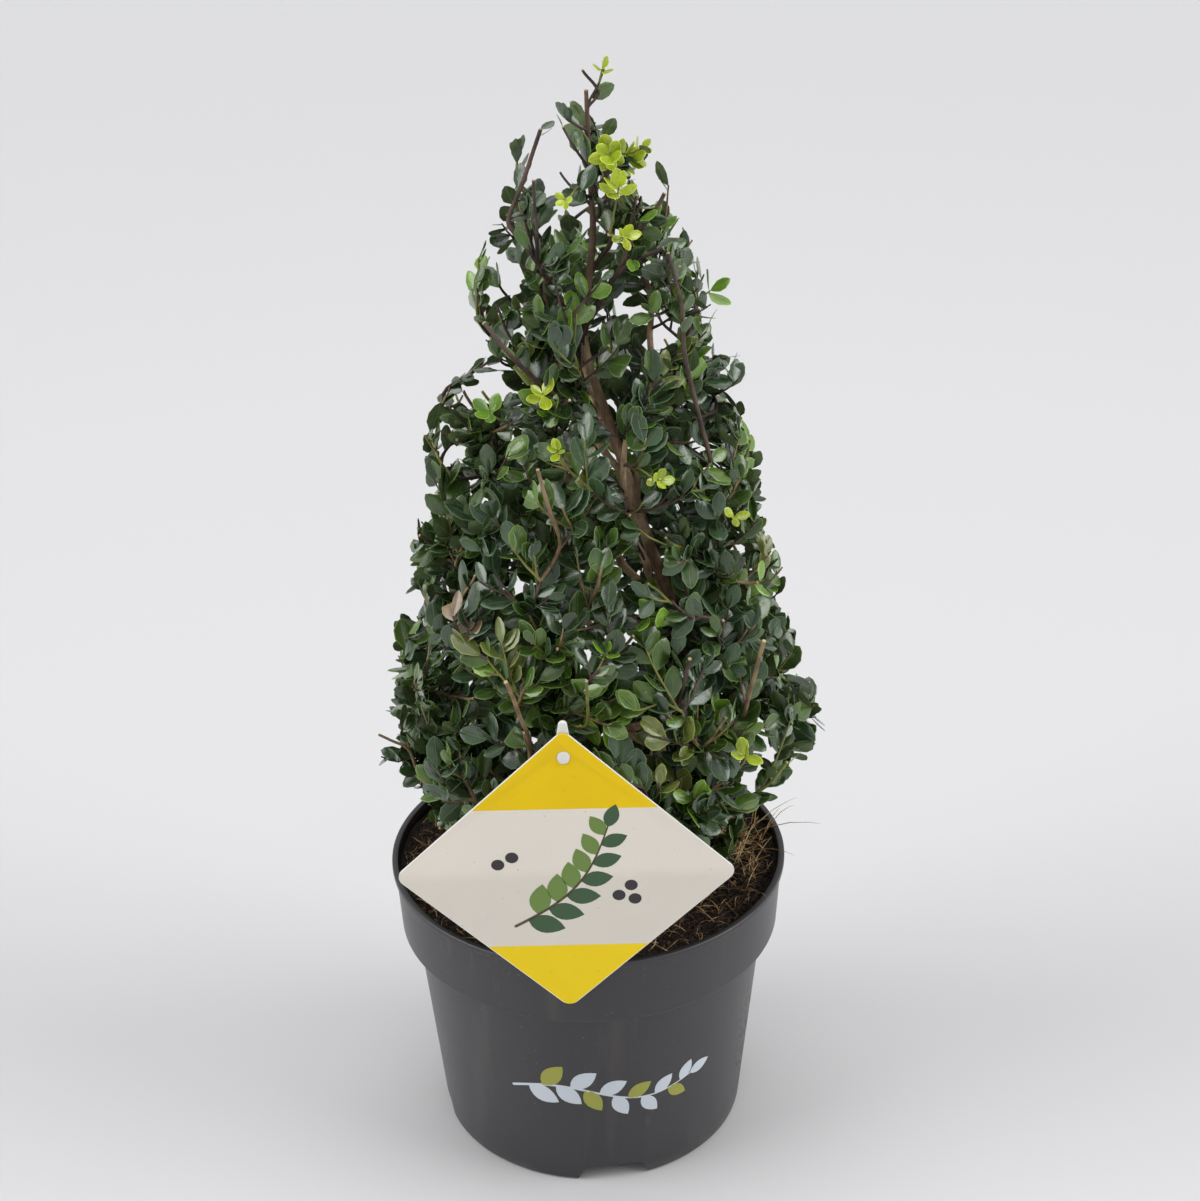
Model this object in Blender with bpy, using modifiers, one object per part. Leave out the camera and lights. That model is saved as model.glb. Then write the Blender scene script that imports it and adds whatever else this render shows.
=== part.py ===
"""Potted japanese holly, clipped to a cone, with its nursery pot, potting mix and hanging label.

Metres, +Z up. The origin is the middle of the pot's underside, and the label hangs at -Y.
"""
import math
import random

import bmesh
import bpy
from mathutils import Matrix, Vector
from mathutils.bvhtree import BVHTree

GAP = 0.0003  # clearance kept between pieces that touch
MERGE_DISTANCE = 0.000002
UP = Vector((0, 0, 1))
GOLDEN_ANGLE = math.pi * (3 - math.sqrt(5))

# Pot
POT_HEIGHT = 0.1736
RIM_RADIUS = 0.115
LIP_HEIGHT = 0.0035
COLLAR_RADIUS = 0.1132  # just under the lip
COLLAR_FOOT = 0.1313  # height of the collar's lower edge
COLLAR_FOOT_RADIUS = 0.111
BODY_RADIUS = 0.103  # just under the collar
BASE_RADIUS = 0.090
POT_WALL = 0.002
POT_FLOOR = 0.0025
POT_STEPS = 40
RIM_EDGE = 0.0006
COLLAR_EDGE = 0.0015
BASE_EDGE = 0.002
CUT_PAST = 0.010  # how far a cutter runs past what it cuts
CHANNEL_COUNT = 4
CHANNEL_TURN = math.radians(-83)  # direction of the channel that shows in front
CHANNEL_HEIGHT = 0.0105
CHANNEL_FOOT_WIDTH = 0.042
CHANNEL_ROOF_WIDTH = 0.033
CHANNEL_LENGTH = 0.032
DRAIN_RADIUS = 0.006

# Potting mix
SOIL_TOP = 0.1655
SOIL_EDGE = 0.1615
SOIL_FLAT_RADIUS = 0.052  # level part round the trunk

# Label: a square card that stands on one corner, hung on the peg of a stake
CARD_SIDE = 0.1285
CARD_CORNER = 0.006
CARD_THICKNESS = 0.0008
CARD_LEAN = math.radians(3)
CARD_X = -0.0117
CARD_HEIGHT = 0.2360
CARD_MARGIN = 0.008  # kept free of leaves beside the card
CARD_CLEARANCE = 0.003  # and behind it
HOLE_RADIUS = 0.003
HOLE_FROM_CORNER = 0.0140
STAKE_WIDTH = 0.010
STAKE_TIP_WIDTH = 0.0055
STAKE_NECK = 0.022  # length over which it narrows to the tip
STAKE_THICKNESS = 0.002
STAKE_TOP = 0.331
STAKE_DEPTH = 0.030  # length in the potting mix
STAKE_LEAN = math.radians(7)

# Trunk: its route as x, y, z, from the ground to where the top foliage takes over
TRUNK_ROUTE = (
    (0.028, -0.006, SOIL_TOP + GAP),
    (0.030, -0.006, 0.190),
    (0.044, -0.013, 0.260),
    (0.051, -0.019, 0.325),
    (0.035, -0.020, 0.385),
    (0.017, -0.017, 0.446),
    (0.004, -0.010, 0.492),
    (0.009, -0.002, 0.545),
    (0.008, 0.000, 0.572),
)
TRUNK_RADIUS = 0.0062
TRUNK_TIP_RADIUS = 0.0017
TRUNK_TAPER_POWER = 0.85  # under 1 takes more of the taper near the ground
FLARE = 0.0052
FLARE_HEIGHT = 0.013
FLARE_RIDGES = 4
FLARE_DEPTH = 0.16

# Crown: radius at each height round its own axis
CROWN_AXIS = Vector((0.006, 0.0, 0.0))
CROWN_PROFILE = (
    (0.178, 0.096), (0.215, 0.112), (0.255, 0.126), (0.325, 0.111), (0.390, 0.094),
    (0.455, 0.086), (0.520, 0.066), (0.575, 0.041), (0.610, 0.019), (0.637, 0.007),
)
CROWN_FOOT = CROWN_PROFILE[0][0]
CROWN_TOP = CROWN_PROFILE[-1][0]
# Shoots that stand out of the cone: direction in degrees, height and how far out
TUFTS = (
    (-8, 0.250, 0.013), (184, 0.246, 0.010), (192, 0.458, 0.008), (-12, 0.522, 0.010),
    (95, 0.262, 0.010), (48, 0.430, 0.008), (140, 0.360, 0.008), (180, 0.600, 0.004),
)
TUFT_SPREAD = 0.020

# Tiers of foliage, from the lowest up: name, count, height of the middles, their distance
# from the axis as a share of the crown's radius, lowest and highest fork on the trunk, turn
TIERS = (
    ("skirt", 6, 0.238, 0.62, 0.178, 0.222, 8),
    ("lower", 5, 0.322, 0.58, 0.238, 0.278, -36),
    ("middle", 4, 0.410, 0.54, 0.318, 0.352, 20),
    ("upper", 3, 0.496, 0.52, 0.405, 0.430, -15),
)
TIER_STAGGER = 0.016  # how far a tier's middles lie above and below its height
TOP_MIDDLE = Vector((0.011, 0.0, 0.592))
TOP_ROUTE = ((0.0078, 0.0, 0.596), (0.0082, 0.001, 0.6185), (0.0150, 0.0, 0.634))
SPACE_MARGIN = 0.0009  # half the gap between the spaces of two neighbours
LIMB_STEPS = 2
LIMB_SAG = 0.12  # of the way from fork to middle, how far a limb runs below the straight line
BOUGH_SHARE = 0.52  # of a limb's length is bough, the rest is the stem of its foliage
BOUGH_RADIUS = 0.0031
STEM_RADIUS = 0.0019
STEM_TIP_RADIUS = 0.0009
STEM_RISE = 0.036  # from a middle up to where its stem reaches the surface

# Shoots and leaves
SHOOT_COUNT = 136
SHOOT_INSET = 0.013  # of a shoot's tip behind the crown's surface
SHOOT_INSET_SPREAD = (0.77, 1.3)
TWIG_RADIUS = 0.0010
TWIG_TIP_RADIUS = 0.0006
TWIG_ANGLE = math.radians(62)
TWIG_STARTS = (0.15, 0.4, 0.65, 0.9)  # places along a stem or twig where the next can start
TWIG_TRIES = 12
LEAF_LENGTH = 0.034
LEAF_LENGTH_AT_TOP = 0.021
LEAF_LENGTH_SPREAD = (0.85, 1.1)
LEAF_WIDTH_SHARE = 0.62
LEAF_THICKNESS_SHARE = 0.045
LEAF_CREST = 0.32  # where along the leaf it is thickest
LEAF_BEND = 0.10
LEAF_FULLNESS = 0.75  # under 1 moves the broadest part towards the tip
LEAF_SPACING = 0.0086
LEAF_TRIES = 9
LEAF_SHRINK = 0.03  # how much shorter a leaf gets with each try
LEAF_LEANS = (0.7, 1.2)  # angle to the twig, in radians
LEAF_SLACK = 0.004  # how far a leaf may stand out of the crown's surface
LEAVES_PER_SHOOT = 5
LIMB_CLEARANCE = 0.0006

# Core of the denser foliage
CORE_RADIUS = 0.025  # at most
CORE_INSET = 0.034  # from the crown's surface
CORE_STEP = 0.002
CORE_SHRINK = 0.92  # step by which a core is drawn in until it clears the limbs
CORE_TOP = 0.47  # foliage whose middle is higher has none

# Gap in the foliage through which the trunk shows, seen from in front and above
WINDOW_FOOT = 0.345
WINDOW_TOP = 0.465
WINDOW_HALF_WIDTH = 0.006
WINDOW_STEPS = 20
WINDOW_VIEW = Vector((0, -math.cos(math.radians(27)), math.sin(math.radians(27))))

rng = random.Random(11)


def clear_scene():
    for obj in list(bpy.data.objects):
        bpy.data.objects.remove(obj, do_unlink=True)


def new_collection(name):
    collection = bpy.data.collections.new(name)
    bpy.context.scene.collection.children.link(collection)
    return collection


def make_material(name, colour, roughness, metallic=0.0):
    material = bpy.data.materials.new(name)
    material.use_nodes = True
    shader = material.node_tree.nodes["Principled BSDF"]
    shader.inputs["Base Color"].default_value = (*colour, 1)
    shader.inputs["Roughness"].default_value = roughness
    shader.inputs["Metallic"].default_value = metallic
    material.diffuse_color = (*colour, 1)
    return material


def add_object(name, data, collection, material=None):
    obj = bpy.data.objects.new(name, data)
    collection.objects.link(obj)
    if material:
        data.materials.append(material)
    return obj


def as_cutter(obj):
    obj.hide_render = True
    obj.display_type = "WIRE"
    return obj


def add_boolean(obj, operation, other):
    modifier = obj.modifiers.new(f"{operation.lower()} {other.name}", "BOOLEAN")
    modifier.operation = operation
    modifier.solver = "EXACT"
    modifier.object = other


def finished_mesh(obj):
    """The object's evaluated mesh, as new data."""
    bpy.context.view_layer.update()
    graph = bpy.context.evaluated_depsgraph_get()
    return bpy.data.meshes.new_from_object(obj.evaluated_get(graph))


def turned(name, profile, collection, material=None):
    """A closed turned solid. The profile's (radius, height) points run down its outer side."""
    mesh = bpy.data.meshes.new(name)
    points = [(radius, 0, height) for radius, height in profile]
    mesh.from_pydata(points, [(i, i + 1) for i in range(len(points) - 1)], [])
    obj = add_object(name, mesh, collection, material)
    screw = obj.modifiers.new("turn", "SCREW")
    screw.axis = "Z"
    screw.steps = POT_STEPS
    screw.render_steps = POT_STEPS
    screw.use_merge_vertices = True
    screw.merge_threshold = 0.0001
    screw.use_smooth_shade = False
    return obj


def block(name, size, roof_share, collection, matrix):
    """A box on z = 0, whose top is this share of its foot's width in y."""
    bm = bmesh.new()
    bmesh.ops.create_cube(bm, size=1)
    for vertex in bm.verts:
        share = roof_share if vertex.co.z > 0 else 1.0
        x, y, z = vertex.co
        vertex.co = (x * size[0], y * size[1] * share, (z + 0.5) * size[2])
    bm.transform(matrix)
    mesh = bpy.data.meshes.new(name)
    bm.to_mesh(mesh)
    bm.free()
    return add_object(name, mesh, collection)


def rod(name, radius, length, collection, matrix):
    bm = bmesh.new()
    bmesh.ops.create_cone(
        bm, cap_ends=True, segments=16, radius1=radius, radius2=radius, depth=length, matrix=matrix
    )
    mesh = bpy.data.meshes.new(name)
    bm.to_mesh(mesh)
    bm.free()
    return add_object(name, mesh, collection)


def inner_wall(clearance):
    """The inside of the pot from floor to rim, moved in and up by the clearance."""
    corners = (
        (BASE_RADIUS - POT_WALL, POT_FLOOR),
        (BODY_RADIUS - POT_WALL, COLLAR_FOOT + POT_WALL),
        (COLLAR_FOOT_RADIUS - POT_WALL, COLLAR_FOOT + 2 * POT_WALL),
        (RIM_RADIUS - 1.5 * POT_WALL, POT_HEIGHT),
    )
    return [(radius - clearance, height + clearance) for radius, height in corners]


def channel_turn(number):
    return Matrix.Rotation(CHANNEL_TURN + number * math.tau / CHANNEL_COUNT, 4, "Z")


def channel_blocks(kind, grown, collection):
    """The drainage channels round the pot's foot as blocks, grown on every side."""
    reach = CHANNEL_LENGTH + CUT_PAST + grown
    middle = BASE_RADIUS + CUT_PAST - reach / 2
    foot = CHANNEL_FOOT_WIDTH + 2 * grown
    roof = CHANNEL_ROOF_WIDTH + 2 * grown
    size = (reach, foot, CUT_PAST + CHANNEL_HEIGHT + grown)
    blocks = []
    for i in range(CHANNEL_COUNT):
        place = channel_turn(i) @ Matrix.Translation((middle, 0, -CUT_PAST))
        blocks.append(as_cutter(block(f"{kind} channel {i + 1}", size, roof / foot, collection, place)))
    return blocks


def make_pot(parts, cutters, material):
    outer = [
        (0, POT_HEIGHT),
        (RIM_RADIUS - RIM_EDGE, POT_HEIGHT),
        (RIM_RADIUS, POT_HEIGHT - RIM_EDGE),
        (RIM_RADIUS, POT_HEIGHT - LIP_HEIGHT),
        (COLLAR_RADIUS, POT_HEIGHT - LIP_HEIGHT - RIM_EDGE),
        (COLLAR_FOOT_RADIUS, COLLAR_FOOT + COLLAR_EDGE),
        (COLLAR_FOOT_RADIUS - COLLAR_EDGE, COLLAR_FOOT),
        (BODY_RADIUS, COLLAR_FOOT - RIM_EDGE),
        (BASE_RADIUS, BASE_EDGE),
        (BASE_RADIUS - BASE_EDGE, 0),
        (0, 0),
    ]
    pot = turned("pot", outer, parts, material)
    wall = inner_wall(0)
    over = POT_HEIGHT + POT_WALL
    cavity_profile = [(0, over), (wall[-1][0], over), *reversed(wall), (0, POT_FLOOR)]
    cavity = turned("pot cavity", cavity_profile, cutters)
    for roof in channel_blocks("roof", POT_WALL, cutters):
        add_boolean(cavity, "DIFFERENCE", roof)
    add_boolean(pot, "DIFFERENCE", as_cutter(cavity))
    for channel in channel_blocks("open", 0, cutters):
        add_boolean(pot, "DIFFERENCE", channel)
    drain_place = Vector((BASE_RADIUS - CHANNEL_LENGTH + 2 * DRAIN_RADIUS, 0, CHANNEL_HEIGHT))
    for i in range(CHANNEL_COUNT):
        place = channel_turn(i) @ Matrix.Translation(drain_place)
        drain = rod(f"drain {i + 1}", DRAIN_RADIUS, 4 * POT_WALL, cutters, place)
        add_boolean(pot, "DIFFERENCE", as_cutter(drain))
    return pot


def make_soil(parts, cutters, material):
    wall = inner_wall(GAP)
    low, high = wall[-2], wall[-1]
    share = (SOIL_EDGE - low[1]) / (high[1] - low[1])
    edge = (low[0] + share * (high[0] - low[0]), SOIL_EDGE)
    shoulder = ((SOIL_FLAT_RADIUS + edge[0]) / 2, SOIL_TOP - (SOIL_TOP - SOIL_EDGE) / 3)
    profile = [
        (0, SOIL_TOP), (SOIL_FLAT_RADIUS, SOIL_TOP), shoulder, edge,
        *reversed(wall[:-1]), (0, POT_FLOOR + GAP),
    ]
    soil = turned("soil", profile, parts, material)
    for roof in channel_blocks("soil", POT_WALL + GAP, cutters):
        add_boolean(soil, "DIFFERENCE", roof)
    return soil


def arc(centre, radius, start, end, steps):
    angles = [math.radians(start + (end - start) * i / steps) for i in range(steps + 1)]
    return [(centre[0] + radius * math.cos(a), centre[1] + radius * math.sin(a)) for a in angles]


def flat_outline(name, outlines, thickness, collection, matrix, material=None):
    """A plate from closed outlines in its own x, y; the second and later ones are holes."""
    curve = bpy.data.curves.new(name, "CURVE")
    curve.dimensions = "2D"
    curve.fill_mode = "BOTH"
    curve.extrude = thickness / 2
    for outline in outlines:
        spline = curve.splines.new("POLY")
        spline.points.add(len(outline) - 1)
        spline.use_cyclic_u = True
        for point, (x, y) in zip(spline.points, outline):
            point.co = (x, y, 0, 1)
    guide = add_object(name, curve, collection)
    mesh = finished_mesh(guide)
    bpy.data.objects.remove(guide, do_unlink=True)
    bpy.data.curves.remove(curve)
    mesh.transform(matrix)
    weld(mesh)
    return add_object(name, mesh, collection, material)


def weld(mesh):
    bm = bmesh.new()
    bm.from_mesh(mesh)
    bmesh.ops.remove_doubles(bm, verts=bm.verts, dist=MERGE_DISTANCE)
    bmesh.ops.recalc_face_normals(bm, faces=bm.faces)
    bm.to_mesh(mesh)
    bm.free()


def plate_matrix(place, lean):
    """Puts a plate's x along X and its y up, facing -Y, with its top leaning forward."""
    return Matrix.Translation(place) @ Matrix.Rotation(math.pi / 2 + lean, 4, "X")


def card_plane_y(height):
    """Where the middle of the card's thickness stands at this height, just in front of the rim."""
    at_rim = -(RIM_RADIUS + GAP + CARD_THICKNESS / 2 / math.cos(CARD_LEAN))
    return at_rim - (height - POT_HEIGHT) * math.tan(CARD_LEAN)


def make_label(parts, cutters, soil, card_material, stake_material):
    half = CARD_SIDE / 2
    inner = half - CARD_CORNER
    corners = ((inner, inner, 0), (-inner, inner, 90), (-inner, -inner, 180), (inner, -inner, 270))
    square = [p for x, y, start in corners for p in arc((x, y), CARD_CORNER, start, start + 90, 4)]
    turn = math.radians(45)
    cosine, sine = math.cos(turn), math.sin(turn)
    diamond = [(x * cosine - y * sine, x * sine + y * cosine) for x, y in square]
    tip = half * math.sqrt(2) - CARD_CORNER * (math.sqrt(2) - 1)
    hole_y = tip - HOLE_FROM_CORNER
    card_place = Vector((CARD_X, card_plane_y(CARD_HEIGHT), CARD_HEIGHT))
    card_matrix = plate_matrix(card_place, CARD_LEAN)
    hole = arc((0, hole_y), HOLE_RADIUS, 0, 345, 23)
    flat_outline("label_card", [diamond, hole], CARD_THICKNESS, parts, card_matrix, card_material)

    peg_place = card_matrix @ Vector((0, hole_y, 0))
    drift = math.tan(STAKE_LEAN - CARD_LEAN) * (HOLE_FROM_CORNER + CARD_CORNER)
    back = STAKE_THICKNESS / 2 + CARD_THICKNESS / 2 + drift + GAP
    stake_peg = peg_place + Vector((0, back, 0))
    above = (STAKE_TOP - stake_peg.z) / math.cos(STAKE_LEAN)
    below = (stake_peg.z - SOIL_TOP) / math.cos(STAKE_LEAN) + STAKE_DEPTH
    side = STAKE_WIDTH / 2
    tip_side = STAKE_TIP_WIDTH / 2
    bar = [
        (side, above - STAKE_NECK), *arc((0, above - tip_side), tip_side, 0, 180, 8),
        (-side, above - STAKE_NECK), (-side, -below + 3 * side), (0, -below), (side, -below + 3 * side),
    ]
    stake_matrix = plate_matrix(stake_peg, STAKE_LEAN)
    stake = flat_outline("label_stake", [bar], STAKE_THICKNESS, parts, stake_matrix, stake_material)
    peg_length = back + CARD_THICKNESS
    peg_shift = Matrix.Translation((0, 0, CARD_THICKNESS - peg_length / 2))
    peg_matrix = plate_matrix(peg_place, CARD_LEAN) @ peg_shift
    peg = rod("peg", HOLE_RADIUS - GAP, peg_length, cutters, peg_matrix)
    add_boolean(stake, "UNION", as_cutter(peg))

    grown = [(x + math.copysign(GAP, x) if x else 0, y - GAP if y < 0 else y) for x, y in bar]
    slot = flat_outline("stake slot", [grown], STAKE_THICKNESS + 2 * GAP, cutters, stake_matrix)
    add_boolean(soil, "DIFFERENCE", as_cutter(slot))


def smooth_route(points, steps):
    """A Catmull-Rom curve through the points, with this many steps for each stretch."""
    ends = [points[0], *points, points[-1]]
    route = []
    for i in range(len(points) - 1):
        a, b, c, d = (Vector(p) for p in ends[i : i + 4])
        square = 2 * a - 5 * b + 4 * c - d
        cube = 3 * b - a - 3 * c + d
        for k in range(steps):
            t = k / steps
            route.append((2 * b + (c - a) * t + square * t**2 + cube * t**3) / 2)
    route.append(Vector(points[-1]))
    return route


def tube(name, route, radii, collection, material=None, resolution=2):
    """A closed tapering tube, made as a bevelled curve and turned into a mesh."""
    curve = bpy.data.curves.new(name, "CURVE")
    curve.dimensions = "3D"
    curve.bevel_depth = 1.0
    curve.bevel_resolution = resolution
    curve.use_fill_caps = True
    spline = curve.splines.new("POLY")
    spline.points.add(len(route) - 1)
    for point, place, radius in zip(spline.points, route, radii):
        point.co = (*place, 1)
        point.radius = radius
    guide = add_object(name, curve, collection)
    mesh = finished_mesh(guide)
    bpy.data.objects.remove(guide, do_unlink=True)
    bpy.data.curves.remove(curve)
    weld(mesh)
    mesh.shade_smooth()
    mesh.set_sharp_from_angle(angle=math.radians(40))
    return add_object(name, mesh, collection, material)


def trunk_radius(height):
    share = (height - SOIL_TOP) / (TRUNK_ROUTE[-1][2] - SOIL_TOP)
    taper = TRUNK_RADIUS + (TRUNK_TIP_RADIUS - TRUNK_RADIUS) * share**TRUNK_TAPER_POWER
    return taper + FLARE * math.exp(-(height - SOIL_TOP) / FLARE_HEIGHT)


def trunk_points():
    """The trunk's route, upright in its first few millimetres so that its foot is cut level."""
    foot = Vector(TRUNK_ROUTE[0])
    route = smooth_route(TRUNK_ROUTE, 3)
    return [foot, foot + UP * FLARE_HEIGHT / 4, foot.lerp(route[2], 0.5), *route[2:]]


def make_trunk(collection, material, grown=0.0, name="trunk"):
    route = trunk_points()
    radii = [trunk_radius(place.z) + grown for place in route]
    trunk = tube(name, route, radii, collection, material, 2)
    foot = route[0]
    for vertex in trunk.data.vertices:
        away = Vector((vertex.co.x - foot.x, vertex.co.y - foot.y, 0))
        height = vertex.co.z - foot.z
        if height < FLARE_HEIGHT:
            ridge = math.cos(FLARE_RIDGES * math.atan2(away.y, away.x))
            vertex.co += away * FLARE_DEPTH * ridge * (1 - height / FLARE_HEIGHT)
    return trunk


def on_trunk(height):
    """The point of the trunk's middle line at this height."""
    route = trunk_points()
    for a, b in zip(route, route[1:]):
        if a.z <= height <= b.z:
            return a.lerp(b, (height - a.z) / (b.z - a.z))
    return route[-1]


WINDOW_HEIGHT = WINDOW_TOP - WINDOW_FOOT
WINDOW_PLACES = [on_trunk(WINDOW_FOOT + WINDOW_HEIGHT * i / WINDOW_STEPS) for i in range(WINDOW_STEPS)]


def crown_radius(height):
    height = min(max(height, CROWN_FOOT), CROWN_TOP)
    for (z0, r0), (z1, r1) in zip(CROWN_PROFILE, CROWN_PROFILE[1:]):
        if height <= z1:
            return r0 + (r1 - r0) * (height - z0) / (z1 - z0)


def crown_reach(direction, height):
    """The crown's radius in this direction (radians), with the shoots that stand out of it."""
    reach = crown_radius(height)
    for degrees, z, out in TUFTS:
        turn = math.remainder(direction - math.radians(degrees), math.tau) * reach
        reach += out * math.exp(-(turn**2 + (height - z) ** 2) / TUFT_SPREAD**2)
    return reach


def crown_point(direction, height, inset=0.0):
    reach = crown_reach(direction, height) - inset
    return CROWN_AXIS + Vector((reach * math.cos(direction), reach * math.sin(direction), height))


def crown_depth(point):
    """How far inside the crown's surface a point lies, negative outside."""
    away = point - CROWN_AXIS
    return crown_reach(math.atan2(away.y, away.x), point.z) - math.hypot(away.x, away.y)


class Space:
    """The part of the crown that is nearer to one middle than to any other."""

    def __init__(self, middle, others):
        self.planes = []
        for other in others:
            away = other - middle
            normal = away.normalized()
            self.planes.append((normal, normal.dot((middle + other) / 2) - SPACE_MARGIN))

    def holds(self, points, slack=0.0):
        for point in points:
            if point.z < CROWN_FOOT - slack or point.z > CROWN_TOP or crown_depth(point) < -slack:
                return False
            if any(normal.dot(point) > limit for normal, limit in self.planes):
                return False
            if before_card(point) or in_window(point):
                return False
        return True


def before_card(point):
    """Whether a point lies in or before the card, or too close behind it."""
    beside = abs(point.x - CARD_X) + abs(point.z - CARD_HEIGHT) > CARD_SIDE / math.sqrt(2) + CARD_MARGIN
    return not beside and point.y < card_plane_y(point.z) + CARD_CLEARANCE


def in_window(point):
    """Whether a point would hide the trunk where it shows between the leaves."""
    for place in WINDOW_PLACES:
        away = point - place
        along = away.dot(WINDOW_VIEW)
        if along > 0 and (away - along * WINDOW_VIEW).length < WINDOW_HALF_WIDTH:
            return True
    return False


def limb_route(fork, middle):
    """From a fork on the trunk out to a middle, then up to just under the crown's surface."""
    away = middle - CROWN_AXIS
    direction = math.atan2(away.y, away.x)
    end = crown_point(direction, middle.z + STEM_RISE, 2 * SHOOT_INSET)
    elbow = fork.lerp(middle, 0.5) - UP * LIMB_SAG * (middle - fork).length
    return smooth_route((fork, elbow, middle, end), LIMB_STEPS)


def surface_of(obj):
    bm = bmesh.new()
    bm.from_mesh(finished_mesh(obj))
    surface = BVHTree.FromBMesh(bm)
    bm.free()
    return surface


def clear_of(bm, surfaces):
    """Whether a shape keeps its distance from all these surfaces."""
    own = BVHTree.FromBMesh(bm)
    for surface in surfaces:
        if own.overlap(surface):
            return False
        if any(surface.find_nearest(vertex.co, LIMB_CLEARANCE)[0] for vertex in bm.verts):
            return False
    return True


def frame_along(direction, facing):
    """A rotation whose x runs along the direction and whose z faces as asked."""
    x = direction.normalized()
    z = (facing - facing.dot(x) * x).normalized()
    y = z.cross(x)
    return Matrix((x, y, z)).transposed().to_4x4()


def leaf_bmesh(root, direction, facing, length):
    """A five-cornered leaf with a flat back, narrow at its root and broadest past its middle."""
    bm = bmesh.new()
    bmesh.ops.create_uvsphere(bm, u_segments=5, v_segments=2, radius=1)
    bmesh.ops.dissolve_verts(bm, verts=[vertex for vertex in bm.verts if vertex.co.z < -0.5])
    width = length * LEAF_WIDTH_SHARE
    for vertex in bm.verts:
        top = vertex.co.z > 0.5
        along = LEAF_CREST if top else max((1 - vertex.co.y) / 2, 0.0) ** LEAF_FULLNESS
        height = length * (LEAF_THICKNESS_SHARE * top - LEAF_BEND * along**2)
        vertex.co = Vector((along * length, vertex.co.x * width / 2, height))
    bmesh.ops.triangulate(bm, faces=bm.faces)
    bmesh.ops.recalc_face_normals(bm, faces=bm.faces)
    bm.transform(Matrix.Translation(root) @ frame_along(direction, facing))
    return bm


def twig_turn(direction):
    return UP.rotation_difference(direction).to_matrix()


def twig_bmesh(start, end):
    bm = bmesh.new()
    length = (end - start).length
    bmesh.ops.create_cone(
        bm, cap_ends=True, segments=3, radius1=TWIG_RADIUS, radius2=TWIG_TIP_RADIUS, depth=length,
        matrix=Matrix.Translation(UP * length / 2),
    )
    bm.transform(Matrix.Translation(start) @ twig_turn(end - start).to_4x4())
    return bm


def core_bmesh(middle, space, surfaces):
    """A rounded solid about the middle, as large as its space allows behind the shoots."""
    bm = bmesh.new()
    bmesh.ops.create_icosphere(bm, subdivisions=1, radius=1)
    for vertex in bm.verts:
        ray = vertex.co.normalized()
        reach = CORE_STEP
        while reach < CORE_RADIUS:
            point = middle + ray * (reach + CORE_STEP)
            held = space.holds([point]) and crown_depth(point) > CORE_INSET
            if not held or any(surface.find_nearest(point, CORE_STEP)[0] for surface in surfaces):
                break
            reach += CORE_STEP
        vertex.co = middle + ray * reach
    while not clear_of(bm, surfaces):
        bmesh.ops.scale(bm, vec=(CORE_SHRINK,) * 3, space=Matrix.Translation(-middle), verts=bm.verts)
    return bm


def shoot_tips():
    """Points spread evenly just under the crown's surface, and one for each tuft."""
    slices = 400
    heights = [CROWN_FOOT + (CROWN_TOP - CROWN_FOOT) * (i + 0.5) / slices for i in range(slices)]
    weights = [crown_radius(height) + SHOOT_INSET for height in heights]
    total = sum(weights)
    tips = []
    passed = 0.0
    for height, weight in zip(heights, weights):
        passed += weight
        while (len(tips) + 0.5) / SHOOT_COUNT * total < passed:
            inset = SHOOT_INSET * rng.uniform(*SHOOT_INSET_SPREAD)
            tips.append(crown_point(len(tips) * GOLDEN_ANGLE, height, min(inset, crown_radius(height) / 2)))
    tips += [crown_point(math.radians(degrees), height, TWIG_RADIUS) for degrees, height, _ in TUFTS]
    return tips


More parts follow.
